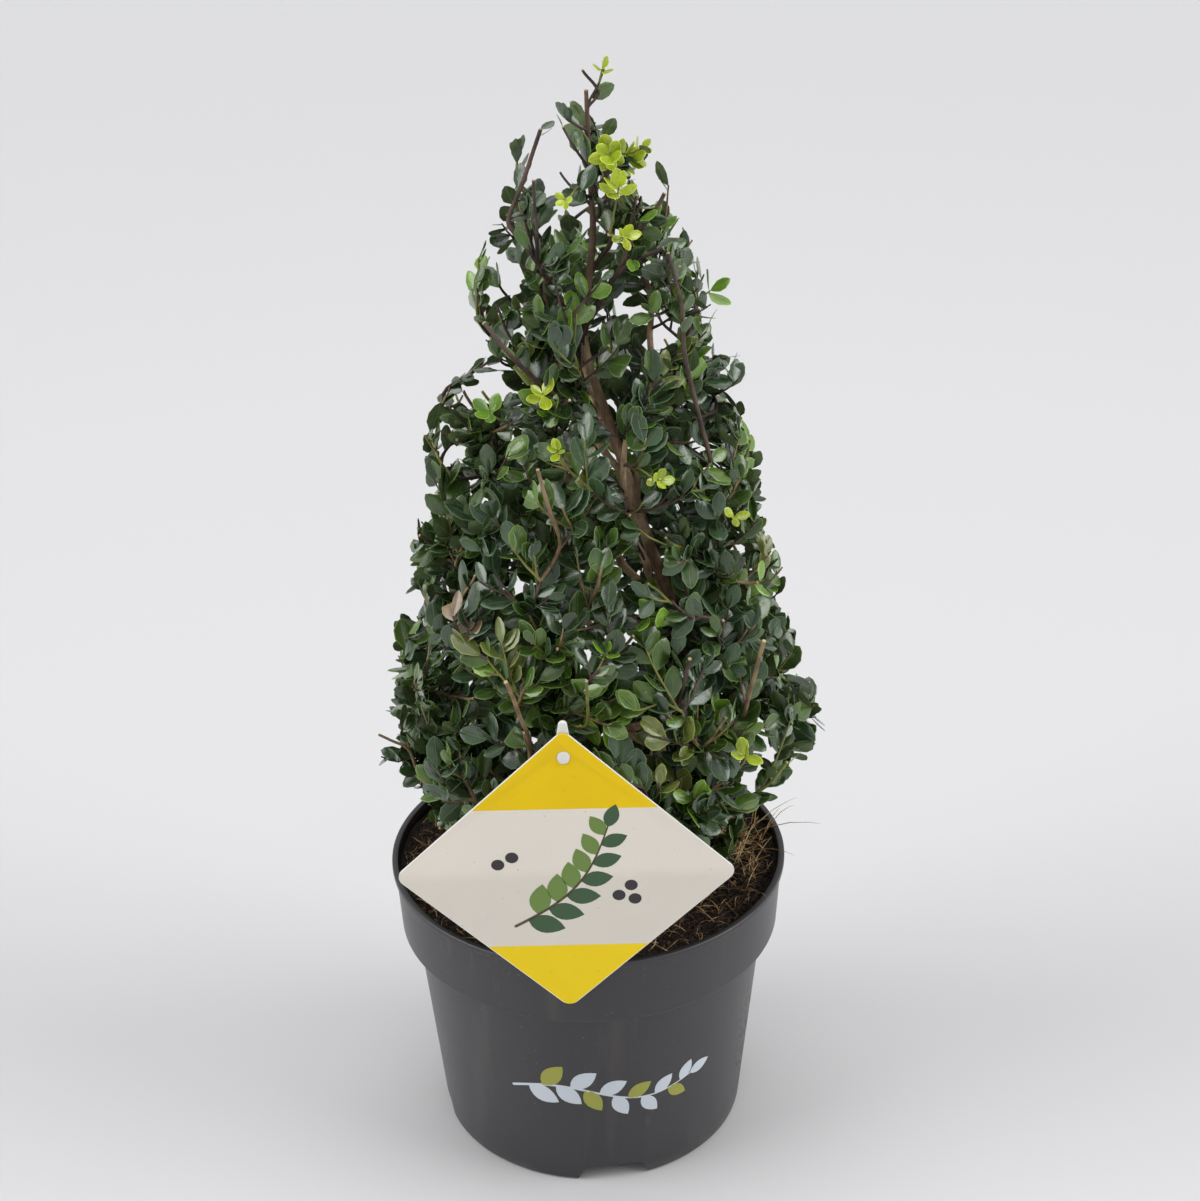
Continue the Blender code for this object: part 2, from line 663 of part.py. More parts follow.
class Mass:
    """Foliage grown from one stem inside its own space."""

    def __init__(self, name, space, stem, radii, surfaces):
        self.name = name
        self.space = space
        self.stem = stem
        self.radii = radii
        self.surfaces = surfaces
        self.tips = []
        self.twigs = list(zip(stem, stem[1:]))
        self.pieces = []
        self.leaves = []
        self.core = None

    def add_core(self, middle):
        bm = core_bmesh(middle, self.space, self.surfaces)
        self.core = BVHTree.FromBMesh(bm)
        self.pieces.append(bm)

    def grow(self):
        """Twigs to the tips, the nearest to the stem first, then the leaves of stem and twigs."""
        self.tips.sort(key=lambda tip: min((tip - place).length for place in self.stem))
        runs = [self.twigs[-1]]
        for tip in self.tips:
            start = self.grow_twig(tip)
            if start:
                runs.append((start, tip))
        for start, tip in runs:
            self.grow_leaves(start, tip)

    def starts_for(self, tip):
        """Places on the stem and twigs from which a twig can run to the tip, best first."""
        found = []
        for a, b in self.twigs:
            for share in TWIG_STARTS:
                start = a.lerp(b, share)
                run = tip - start
                if run.length > LEAF_SPACING / 2:
                    bend = run.angle(b - a)
                    found.append((run.length * (1 + max(0, bend - TWIG_ANGLE)), start))
        found.sort(key=lambda pair: pair[0])
        return [start for _, start in found[:TWIG_TRIES]]

    def grow_twig(self, tip):
        for start in self.starts_for(tip):
            bm = twig_bmesh(start, tip)
            if self.space.holds([vertex.co for vertex in bm.verts]) and clear_of(bm, self.surfaces):
                self.pieces.append(bm)
                self.twigs.append((start, tip))
                return start
            bm.free()
        return None

    def grow_leaves(self, start, tip):
        run = tip - start
        turn = rng.randrange(3)
        count = min(LEAVES_PER_SHOOT, 2 + int(run.length / LEAF_SPACING))
        back = TWIG_RADIUS
        for i in range(count):
            if back < run.length:
                self.grow_leaf(tip - run.normalized() * back, run.normalized(), turn + i)
            back += LEAF_SPACING / 2 if i == 0 else LEAF_SPACING

    def grow_leaf(self, root, along, turn):
        """One leaf out of one of the twig's three sides, turned and shortened until it fits."""
        share = max(0, (root.z - CROWN_FOOT) / (CROWN_TOP - CROWN_FOOT))
        full = LEAF_LENGTH + (LEAF_LENGTH_AT_TOP - LEAF_LENGTH) * share**2
        out = Vector((root.x - CROWN_AXIS.x, root.y - CROWN_AXIS.y, 0)).normalized()
        across = twig_turn(along) @ Vector((0, -1, 0))
        for attempt in range(LEAF_TRIES):
            side = Matrix.Rotation((turn + attempt) * math.tau / 3, 3, along) @ across
            lean = rng.uniform(*LEAF_LEANS)
            direction = along * math.cos(lean) + side * math.sin(lean)
            wander = Vector([rng.uniform(-0.5, 0.5) for _ in range(3)])
            length = full * rng.uniform(*LEAF_LENGTH_SPREAD) * (1 - LEAF_SHRINK * attempt)
            sunk = root - direction * TWIG_TIP_RADIUS / 2
            bm = leaf_bmesh(sunk, direction, out + UP * rng.uniform(0.2, 1.2) + wander, length)
            if self.fits(bm):
                self.pieces.append(bm)
                self.leaves.append(BVHTree.FromBMesh(bm))
                return
            bm.free()

    def fits(self, bm):
        if not self.space.holds([vertex.co for vertex in bm.verts], LEAF_SLACK):
            return False
        if not clear_of(bm, self.surfaces):
            return False
        own = BVHTree.FromBMesh(bm)
        if self.core and own.overlap(self.core):
            return False
        return not any(own.overlap(other) for other in self.leaves)

    def fuse(self, parts, material):
        """Joins stem, twigs, leaves and core into one closed body."""
        stem = tube(self.name, self.stem, self.radii, parts, material, 0)
        helpers = new_collection(f"{self.name} pieces")
        for i, bm in enumerate(self.pieces):
            mesh = bpy.data.meshes.new(f"{self.name} piece {i}")
            bm.to_mesh(mesh)
            bm.free()
            add_object(mesh.name, mesh, helpers)
        join = stem.modifiers.new("join", "BOOLEAN")
        join.operation = "UNION"
        join.operand_type = "COLLECTION"
        join.collection = helpers
        for solver in ("EXACT", "MANIFOLD"):
            join.solver = solver
            joined = finished_mesh(stem)
            if keep_main_body(joined):
                break
        stem.modifiers.remove(join)
        for obj in list(helpers.objects):
            mesh = obj.data
            bpy.data.objects.remove(obj, do_unlink=True)
            bpy.data.meshes.remove(mesh)
        bpy.data.collections.remove(helpers)
        joined.materials.clear()
        joined.materials.append(material)
        stem.data = joined


def keep_main_body(mesh):
    """Drops loose scraps and the walls of sealed hollows. Returns whether what is left is closed."""
    bm = bmesh.new()
    bm.from_mesh(mesh)
    bmesh.ops.remove_doubles(bm, verts=bm.verts, dist=MERGE_DISTANCE)
    bmesh.ops.triangulate(bm, faces=bm.faces)
    left = set(bm.faces)
    bodies = []
    while left:
        queue = [left.pop()]
        body = list(queue)
        while queue:
            near = {face for edge in queue.pop().edges for face in edge.link_faces} & left
            left -= near
            queue += near
            body += near
        bodies.append(body)
    bodies.sort(key=len)
    scraps = [face for body in bodies[:-1] for face in body]
    bmesh.ops.delete(bm, geom=scraps, context="FACES")
    closed = all(len(edge.link_faces) == 2 for edge in bm.edges)
    bm.to_mesh(mesh)
    bm.free()
    return closed


def tier_middles():
    """Name, middle and height of the fork on the trunk for every mass but the top one."""
    rows = []
    for tier, count, height, share, fork_low, fork_high, turn in TIERS:
        for i in range(count):
            direction = math.radians(turn) + i * math.tau / count
            level = height + TIER_STAGGER * math.cos(i * GOLDEN_ANGLE)
            middle = (CROWN_AXIS + UP * level).lerp(crown_point(direction, level), share)
            stagger = (i * 2 % count) / (count - 1)
            rows.append((f"{tier}_{i + 1}", middle, fork_low + (fork_high - fork_low) * stagger))
    return rows


def taper(start, end, count):
    return [start + (end - start) * i / (count - 1) for i in range(count)]


def make_limbs(rows, sleeve, parts, bark):
    """One bough for each row, cut to the trunk's side, and the route of the stem that follows it."""
    boughs = []
    stems = {}
    for name, middle, fork_height in rows:
        route = limb_route(on_trunk(fork_height), middle)
        end = round(BOUGH_SHARE * (len(route) - 1))
        radii = taper(BOUGH_RADIUS, STEM_RADIUS, end + 1)
        bough = tube(f"bough_{name}", route[: end + 1], radii, parts, bark, 1)
        add_boolean(bough, "DIFFERENCE", sleeve)
        boughs.append(bough)
        along = (route[end + 1] - route[end]).normalized()
        stems[name] = [route[end] + along * GAP, *route[end + 1 :]]
    return boughs, stems


def make_plant(parts, cutters, bark, leaf, made):
    """Trunk, boughs and masses of foliage; what is already made is kept clear of leaves."""
    trunk = make_trunk(parts, bark)
    sleeve = as_cutter(make_trunk(cutters, None, GAP, "trunk sleeve"))
    rows = tier_middles()
    boughs, stems = make_limbs(rows, sleeve, parts, bark)
    surfaces = [surface_of(obj) for obj in (*made, trunk, *boughs)]
    middles = {name: middle for name, middle, _ in rows} | {"top": TOP_MIDDLE}
    stems["top"] = [on_trunk(CROWN_TOP) + UP * GAP, *(Vector(place) for place in TOP_ROUTE)]
    masses = {}
    for name, middle in middles.items():
        space = Space(middle, [other for key, other in middles.items() if key != name])
        thickest = TRUNK_TIP_RADIUS if name == "top" else STEM_RADIUS
        radii = taper(thickest, STEM_TIP_RADIUS, len(stems[name]))
        masses[name] = Mass(f"foliage_{name}", space, stems[name], radii, surfaces)
        if middle.z < CORE_TOP:
            masses[name].add_core(middle)
    for tip in shoot_tips():
        nearest = min(middles, key=lambda name: (middles[name] - tip).length)
        masses[nearest].tips.append(tip)
    for mass in masses.values():
        mass.grow()
        mass.fuse(parts, leaf)


def main():
    clear_scene()
    parts = new_collection("potted japanese holly")
    cutters = new_collection("cutters")
    pot = make_pot(parts, cutters, make_material("pot plastic", (0.035, 0.035, 0.037), 0.48))
    soil = make_soil(parts, cutters, make_material("potting mix", (0.050, 0.028, 0.016), 0.95))
    card = make_material("label card", (0.78, 0.72, 0.30), 0.35)
    make_label(parts, cutters, soil, card, make_material("label stake", (0.85, 0.85, 0.83), 0.40))
    made = [pot, soil, bpy.data.objects["label_card"], bpy.data.objects["label_stake"]]
    bark = make_material("bark", (0.105, 0.062, 0.042), 0.80)
    leaf = make_material("leaf", (0.022, 0.065, 0.020), 0.38)
    make_plant(parts, cutters, bark, leaf, made)


main()
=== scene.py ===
# Looks of a potted japanese holly: pot, potting mix, hanging label, bark, twigs and leaves
import math
import random

import bmesh
import bpy
from mathutils import Matrix, Vector, noise
from mathutils.bvhtree import BVHTree
from mathutils.kdtree import KDTree


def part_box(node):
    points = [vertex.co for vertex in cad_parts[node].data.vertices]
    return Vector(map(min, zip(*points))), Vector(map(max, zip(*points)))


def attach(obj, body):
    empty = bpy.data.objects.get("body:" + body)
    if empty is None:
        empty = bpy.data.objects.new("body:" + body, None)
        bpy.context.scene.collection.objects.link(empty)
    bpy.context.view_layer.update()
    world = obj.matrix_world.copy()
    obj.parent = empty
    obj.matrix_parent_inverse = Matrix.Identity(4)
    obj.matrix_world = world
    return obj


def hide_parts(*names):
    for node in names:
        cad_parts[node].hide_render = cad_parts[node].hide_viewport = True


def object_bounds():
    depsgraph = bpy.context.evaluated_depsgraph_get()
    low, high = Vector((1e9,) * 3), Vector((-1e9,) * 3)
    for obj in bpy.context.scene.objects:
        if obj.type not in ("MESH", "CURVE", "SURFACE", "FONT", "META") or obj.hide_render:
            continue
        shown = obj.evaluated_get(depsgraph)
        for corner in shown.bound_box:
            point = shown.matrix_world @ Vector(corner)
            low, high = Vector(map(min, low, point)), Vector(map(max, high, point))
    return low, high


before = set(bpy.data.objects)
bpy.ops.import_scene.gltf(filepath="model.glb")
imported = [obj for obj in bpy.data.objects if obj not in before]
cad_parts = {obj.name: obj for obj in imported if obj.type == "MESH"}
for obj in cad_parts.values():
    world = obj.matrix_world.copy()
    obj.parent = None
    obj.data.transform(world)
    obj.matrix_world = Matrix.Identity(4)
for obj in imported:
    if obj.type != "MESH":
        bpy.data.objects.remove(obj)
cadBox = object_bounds()

up = Vector((0, 0, 1))
goldenAngle = math.pi * (3 - math.sqrt(5))
boxMargin = 0.0005
facesUp = 0.5  # a face looks upwards if its normal has more of Z than this
rng = random.Random(23)
noise.seed_set(3)  # without this, noise_vector starts from the clock


# Meshes and pieces

def makeMesh(name, points, faces=(), edges=()):
    mesh = bpy.data.meshes.new(name)
    mesh.from_pydata([tuple(point) for point in points], list(edges), list(faces))
    return mesh


def meshOf(bm, name):
    # The mesh that an edit ends in
    mesh = bpy.data.meshes.new(name)
    bm.to_mesh(mesh)
    bm.free()
    return mesh


def turns(count):
    # Angles spread evenly over a full turn
    return [math.tau * i / count for i in range(count)]


def addObject(name, data):
    thing = bpy.data.objects.new(name, data)
    bpy.context.scene.collection.objects.link(thing)
    return thing


def keepAside(name, meshes):
    # Shapes that a node tree picks from, in a collection that isn't in the scene
    shelf = bpy.data.collections.new(name)
    for i, mesh in enumerate(meshes):
        shelf.objects.link(bpy.data.objects.new(f"{name} {i:02d}", mesh))
    return shelf


def tidyMesh(mesh, distance=1e-6):
    bm = bmesh.new()
    bm.from_mesh(mesh)
    bmesh.ops.remove_doubles(bm, verts=bm.verts, dist=distance)
    bmesh.ops.recalc_face_normals(bm, faces=bm.faces)
    bm.to_mesh(mesh)
    bm.free()
    return mesh


def evaluatedMesh(obj):
    bpy.context.view_layer.update()
    graph = bpy.context.evaluated_depsgraph_get()
    return bpy.data.meshes.new_from_object(obj.evaluated_get(graph))


def smoothUnder(mesh, degrees):
    mesh.shade_smooth()
    mesh.set_sharp_from_angle(angle=math.radians(degrees))


def paint(mesh, *materials):
    mesh.materials.clear()
    for material in materials:
        mesh.materials.append(material)


def dress(piece, slot, *nodes):
    # Places the piece in the frame and hides the solids that it stands for
    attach(piece, "root")
    if nodes:
        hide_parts(*nodes)
    piece.data.calc_loop_triangles()
    print(f"{piece.name}: {len(piece.data.loop_triangles)} triangles")


def inBox(point):
    # Whether a point lies in the box of the solids, with a little to spare
    return all(low + boxMargin < value < high - boxMargin
               for low, value, high in zip(cadBox[0], point, cadBox[1]))


# Node trees

class Wire:
    # A socket that can stand in a sum: each operator adds the Math node that works it out
    def __init__(self, graph, socket):
        self.graph = graph
        self.socket = socket

    def maths(self, operation, first, second):
        return self.graph.add("ShaderNodeMath", {"operation": operation}, {0: first, 1: second})[0]

    def __add__(self, other):
        return self.maths("ADD", self, other)

    def __radd__(self, other):
        return self.maths("ADD", other, self)

    def __sub__(self, other):
        return self.maths("SUBTRACT", self, other)

    def __rsub__(self, other):
        return self.maths("SUBTRACT", other, self)

    def __mul__(self, other):
        return self.maths("MULTIPLY", self, other)

    def __rmul__(self, other):
        return self.maths("MULTIPLY", other, self)

    def __gt__(self, other):
        return self.maths("GREATER_THAN", self, other)

    def __lt__(self, other):
        return self.maths("LESS_THAN", self, other)

    def __abs__(self):
        return self.maths("ABSOLUTE", self, 0.0)


class Outlets:
    # What comes out of a node, by name or number
    def __init__(self, graph, node):
        self.graph = graph
        self.node = node

    def __getitem__(self, key):
        return Wire(self.graph, self.node.outputs[key])


class Graph:
    # A node tree with one way to add any node: its type, its settings, what goes into its sockets
    def __init__(self, tree):
        self.tree = tree

    def add(self, kind, settings=None, sockets=None):
        node = self.tree.nodes.new(kind)
        for key, value in (settings or {}).items():
            setattr(node, key, value)
        for key, value in (sockets or {}).items():
            if isinstance(value, Wire):
                self.tree.links.new(value.socket, node.inputs[key])
            else:
                node.inputs[key].default_value = value
        return Outlets(self, node)


class Paint(Graph):
    # The tree of one material, with the few patterns that this object's finishes share
    def place(self, stretch):
        where = self.add("ShaderNodeTexCoord")["Object"]
        sockets = {"Vector": where, "Scale": stretch}
        return self.add("ShaderNodeMapping", {"vector_type": "POINT"}, sockets)["Vector"]

    def height(self):
        where = self.add("ShaderNodeTexCoord")["Object"]
        return self.add("ShaderNodeSeparateXYZ", None, {0: where})

    def grain(self, scale, detail=3.0, stretch=(1, 1, 1), roughness=0.55):
        sockets = {"Vector": self.place(stretch), "Scale": scale, "Detail": detail, "Roughness": roughness}
        return self.add("ShaderNodeTexNoise", None, sockets)[0]

    def step(self, value, low, high):
        # 0 below low and 1 above high, with a soft ramp between
        settings = {"interpolation_type": "SMOOTHSTEP"}
        sockets = {"Value": value, "From Min": low, "From Max": high, "To Min": 0.0, "To Max": 1.0}
        return self.add("ShaderNodeMapRange", settings, sockets)[0]

    def mix(self, share, first, second):
        # A Mix node has its two colours at 6 and 7, and gives their mixture at 2
        return self.add("ShaderNodeMix", {"data_type": "RGBA"}, {0: share, 6: first, 7: second})[2]

    def over(self, colour, *layers):
        # Lays further colours over the first one, each as thickly as its share says
        for share, shade in layers:
            colour = self.mix(share, colour, shade)
        return colour

    def bump(self, height, distance):
        sockets = {"Height": height, "Distance": distance, "Strength": 1.0}
        return self.add("ShaderNodeBump", None, sockets)["Normal"]


def makeMaterial(name, look, **fixed):
    # look draws what changes over the surface; fixed values go on the shader's own sockets
    material = bpy.data.materials.new(name)
    material.use_nodes = True
    graph = Paint(material.node_tree)
    shader = material.node_tree.nodes["Principled BSDF"]
    for key, value in fixed.items():
        shader.inputs[key.replace("_", " ")].default_value = value
    for key, value in look(graph).items():
        if isinstance(value, Wire):
            graph.tree.links.new(value.socket, shader.inputs[key])
        else:
            shader.inputs[key].default_value = value
    return material


def rgb(red, green, blue):
    # A colour as a photo editor shows it, 0 to 255, turned into the linear values that shaders take
    shares = [channel / 255 for channel in (red, green, blue)]
    return (*(s / 12.92 if s < 0.04045 else ((s + 0.055) / 1.055) ** 2.4 for s in shares), 1.0)


def newTree(name, inputs):
    # A geometry tree with its named inputs and one geometry output
    tree = bpy.data.node_groups.new(name, "GeometryNodeTree")
    tree.interface.new_socket("Geometry", in_out="INPUT", socket_type="NodeSocketGeometry")
    for label, kind in inputs.items():
        tree.interface.new_socket(label, in_out="INPUT", socket_type=kind)
    tree.interface.new_socket("Geometry", in_out="OUTPUT", socket_type="NodeSocketGeometry")
    graph = Graph(tree)
    return graph, graph.add("NodeGroupInput")


def closeTree(graph, result):
    graph.add("NodeGroupOutput", None, {0: result})
    return graph.tree


def attribute(graph, name, kind):
    return graph.add("GeometryNodeInputNamedAttribute", {"data_type": kind}, {"Name": name})["Attribute"]


def shapesFrom(graph, collection):
    # The collection's shapes one by one, each at its own origin
    sockets = {"Collection": collection, "Separate Children": True, "Reset Children": True}
    return graph.add("GeometryNodeCollectionInfo", None, sockets)["Instances"]


def realized(graph, shapes):
    return graph.add("GeometryNodeRealizeInstances", None, {"Geometry": shapes})["Geometry"]


def coated(graph, shape, finish, only=True):
    # Gives a material to the whole shape, or only to the faces that are picked
    sockets = {"Geometry": shape, "Selection": only, "Material": finish}
    return graph.add("GeometryNodeSetMaterial", None, sockets)["Geometry"]


def runTree(piece, tree, inputs):
    # Runs a tree on the piece and leaves it with the plain mesh that comes out
    modifier = piece.modifiers.new(tree.name, "NODES")
    modifier.node_group = tree
    for item in tree.interface.items_tree:
        if item.item_type == "SOCKET" and item.in_out == "INPUT" and item.name in inputs:
            modifier[item.identifier] = inputs[item.name]
    mesh = evaluatedMesh(piece)
    piece.modifiers.remove(modifier)
    piece.data = mesh


def tubeTree():
    # Each line of edges becomes a closed tube, as thick as its points say
    inputs = {"Sides": "NodeSocketInt", "Finish": "NodeSocketMaterial"}
    graph, given = newTree("tubes", inputs)
    line = graph.add("GeometryNodeMeshToCurve", None, {"Mesh": given["Geometry"]})[0]
    sockets = {"Resolution": given["Sides"], "Radius": 1.0}
    ring = graph.add("GeometryNodeCurvePrimitiveCircle", {"mode": "RADIUS"}, sockets)[0]
    thick = attribute(graph, "thick", "FLOAT")
    sockets = {"Curve": line, "Profile Curve": ring, "Scale": thick, "Fill Caps": True}
    tube = graph.add("GeometryNodeCurveToMesh", None, sockets)[0]
    smooth = graph.add("GeometryNodeSetShadeSmooth", None, {"Geometry": realized(graph, tube)})["Geometry"]
    return closeTree(graph, coated(graph, smooth, given["Finish"]))


def linesMesh(name, lines):
    # lines is a list of (points, radii)
    points, edges, thick = [], [], []
    for route, radii in lines:
        edges += [(len(points) + i, len(points) + i + 1) for i in range(len(route) - 1)]
        points += route
        thick += radii
    mesh = makeMesh(name, points, edges=edges)
    mesh.attributes.new("thick", "FLOAT", "POINT").data.foreach_set("value", thick)
    return mesh


def scatterTree():
    # Shapes from a collection strewn over the upward faces of a surface
    inputs = {
        "Shapes": "NodeSocketCollection", "Per square metre": "NodeSocketFloat",
        "Smallest": "NodeSocketFloat", "Largest": "NodeSocketFloat", "Tip over": "NodeSocketFloat",
        "Seed": "NodeSocketInt", "Finish": "NodeSocketMaterial",
    }
    graph, given = newTree("scatter", inputs)
    facing = graph.add("GeometryNodeInputNormal")["Normal"]
    level = graph.add("ShaderNodeSeparateXYZ", None, {"Vector": facing})["Z"] > facesUp
    sockets = {
        "Mesh": given["Geometry"], "Selection": level,
        "Density": given["Per square metre"], "Seed": given["Seed"],
    }
    spots = graph.add("GeometryNodeDistributePointsOnFaces", None, sockets)
    lean = given["Tip over"]
    low = graph.add("ShaderNodeCombineXYZ", None, {0: 0 - lean, 1: 0 - lean, 2: -math.pi})[0]
    high = graph.add("ShaderNodeCombineXYZ", None, {0: lean, 1: lean, 2: math.pi})[0]
    # A Random Value node takes vectors at 0 and 1, and numbers at 2 and 3
    sockets = {0: low, 1: high, "Seed": given["Seed"]}
    turn = graph.add("FunctionNodeRandomValue", {"data_type": "FLOAT_VECTOR"}, sockets)[0]
    sockets = {2: given["Smallest"], 3: given["Largest"], "Seed": given["Seed"]}
    size = graph.add("FunctionNodeRandomValue", {"data_type": "FLOAT"}, sockets)[1]
    sockets = {
        "Points": spots["Points"], "Instance": shapesFrom(graph, given["Shapes"]), "Pick Instance": True,
        "Rotation": turn, "Scale": size,
    }
    placed = graph.add("GeometryNodeInstanceOnPoints", None, sockets)["Instances"]
    return closeTree(graph, coated(graph, realized(graph, placed), given["Finish"]))


def sprayTree():
    # A leaf for each point, of the kind, turn and size that the point carries
    inputs = {
        "Leaves": "NodeSocketCollection", "Leaf length": "NodeSocketFloat", "Face": "NodeSocketMaterial",
        "Back": "NodeSocketMaterial", "Margin": "NodeSocketMaterial",
    }
    graph, given = newTree("spray", inputs)
    sockets = {
        "Points": given["Geometry"], "Instance": shapesFrom(graph, given["Leaves"]), "Pick Instance": True,
        "Instance Index": attribute(graph, "kind", "INT"),
        "Rotation": attribute(graph, "turn", "FLOAT_VECTOR"),
        "Scale": attribute(graph, "size", "FLOAT") * given["Leaf length"],
    }
    placed = graph.add("GeometryNodeInstanceOnPoints", None, sockets)["Instances"]
    done = coated(graph, realized(graph, placed), given["Face"])
    for part in ("Back", "Margin"):
        done = coated(graph, done, given[part], attribute(graph, part.lower(), "BOOLEAN"))
    return closeTree(graph, done)


tubes = tubeTree()
scatter = scatterTree()
spray = sprayTree()
print("node trees made")


# Pot

_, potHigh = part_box("pot")
pot = {
    "rimRadius": potHigh.x,
    "height": potHigh.z,
    "lipHeight": 0.0035,
    "collarRadius": 0.1132,
    "collarFoot": 0.1313,
    "collarFootRadius": 0.111,
    "bodyRadius": 0.103,
    "baseRadius": 0.090,
    "wall": 0.002,
    "floor": 0.0025,
    "mouthTopInset": 0.0004,
    "mouthInset": 0.0010,
    "mouthDepth": 0.004,
    "ledgeDepth": 0.006,
    "segments": 180,
    "channels": 4,
    "channelTurn": math.radians(-83),
    "channelHeight": 0.0105,
    "channelFoot": 0.042,
    "channelRoof": 0.033,
    "channelLength": 0.032,
    "footRounding": 0.001,
    "roofRounding": 0.003,
    "cutBelow": 0.01,
    "drainRadius": 0.006,
    "drainSegments": 32,
}


def roundedLine(corners, steps=4):
    # Corners as (radius, height, how much is rounded off); the ends stay as they are
    line = [Vector(corners[0][:2])]
    for before, corner, after in zip(corners, corners[1:], corners[2:]):
        here = Vector(corner[:2])
        back = (Vector(before[:2]) - here).normalized() * corner[2]
        on = (Vector(after[:2]) - here).normalized() * corner[2]
        for i in range(steps + 1):
            share = i / steps
            line.append(here + back * (1 - share) ** 2 + on * share**2)
    line.append(Vector(corners[-1][:2]))
    return line


def turnedMesh(name, line, segments):
    # A line of (radius, height) turned about the pot's axis; points on the axis become poles
    bm = bmesh.new()
    rings = []
    for radius, height in line:
        if radius == 0:
            rings.append([bm.verts.new((0, 0, height))])
            continue
        spots = [(radius * math.cos(a), radius * math.sin(a), height) for a in turns(segments)]
        rings.append([bm.verts.new(spot) for spot in spots])
    for low, high in zip(rings, rings[1:]):
        for i in range(segments):
            k = (i + 1) % segments
            corners = [low[i % len(low)], low[k % len(low)], high[k % len(high)], high[i % len(high)]]
            bm.faces.new(list(dict.fromkeys(corners)))
    bmesh.ops.recalc_face_normals(bm, faces=bm.faces)
    return meshOf(bm, name)


def channelMesh(number, grown):
    # The block that a drainage channel is cut with, its upper edges a little rounded
    reach = pot["channelLength"] + pot["drainRadius"] + grown
    foot = pot["channelFoot"] / 2 + grown
    roof = pot["channelRoof"] / 2 + grown
    top = pot["channelHeight"] + grown
    below = -pot["cutBelow"]
    footRounding, roofRounding = pot["footRounding"], pot["roofRounding"]
    outline = roundedLine([
        (-foot, below, 0), (-foot, 0, footRounding), (-roof, top, roofRounding),
        (roof, top, roofRounding), (foot, 0, footRounding), (foot, below, 0),
    ])
    outer = pot["baseRadius"] + pot["drainRadius"]
    points = [(x, p.x, p.y) for x in (outer - reach, outer) for p in outline]
    count = len(outline)
    faces = [tuple(range(count)), tuple(range(2 * count - 1, count - 1, -1))]
    faces += [(i, (i + 1) % count, (i + 1) % count + count, i + count) for i in range(count)]
    mesh = makeMesh(f"channel {number}", points, faces)
    turn = pot["channelTurn"] + number * math.tau / pot["channels"]
    mesh.transform(Matrix.Rotation(turn, 4, "Z"))
    return tidyMesh(mesh)


def drainMesh(number):
    bm = bmesh.new()
    radius = pot["drainRadius"]
    place = Vector((pot["baseRadius"] - pot["channelLength"] + 2 * radius, 0, pot["channelHeight"]))
    turn = Matrix.Rotation(pot["channelTurn"] + number * math.tau / pot["channels"], 4, "Z")
    bmesh.ops.create_cone(
        bm, cap_ends=True, segments=pot["drainSegments"], radius1=radius, radius2=radius,
        depth=4 * pot["wall"], matrix=turn @ Matrix.Translation(place),
    )
    return meshOf(bm, f"drain {number}")


def cutMesh(mesh, cutters):
    # Takes each of the cutters' meshes away from this one
    body = addObject("cut body", mesh)
    tools = [addObject(cutter.name, cutter) for cutter in cutters]
    for tool in tools:
        cut = body.modifiers.new(tool.name, "BOOLEAN")
        cut.operation = "DIFFERENCE"
        cut.solver = "EXACT"
        cut.object = tool
    result = evaluatedMesh(body)
    for obj in (body, *tools):
        bpy.data.objects.remove(obj)
    return result


def potWallLine(clearance):
    # Inside of the pot, from floor to rim
    wall = pot["wall"]
    corners = (
        (pot["baseRadius"] - wall, pot["floor"]),
        (pot["bodyRadius"] - wall, pot["collarFoot"] + wall),
        (pot["collarFootRadius"] - wall, pot["collarFoot"] + 2 * wall),
        (pot["rimRadius"] - 1.5 * wall, pot["height"]),
    )
    return [(radius - clearance, height + clearance) for radius, height in corners]


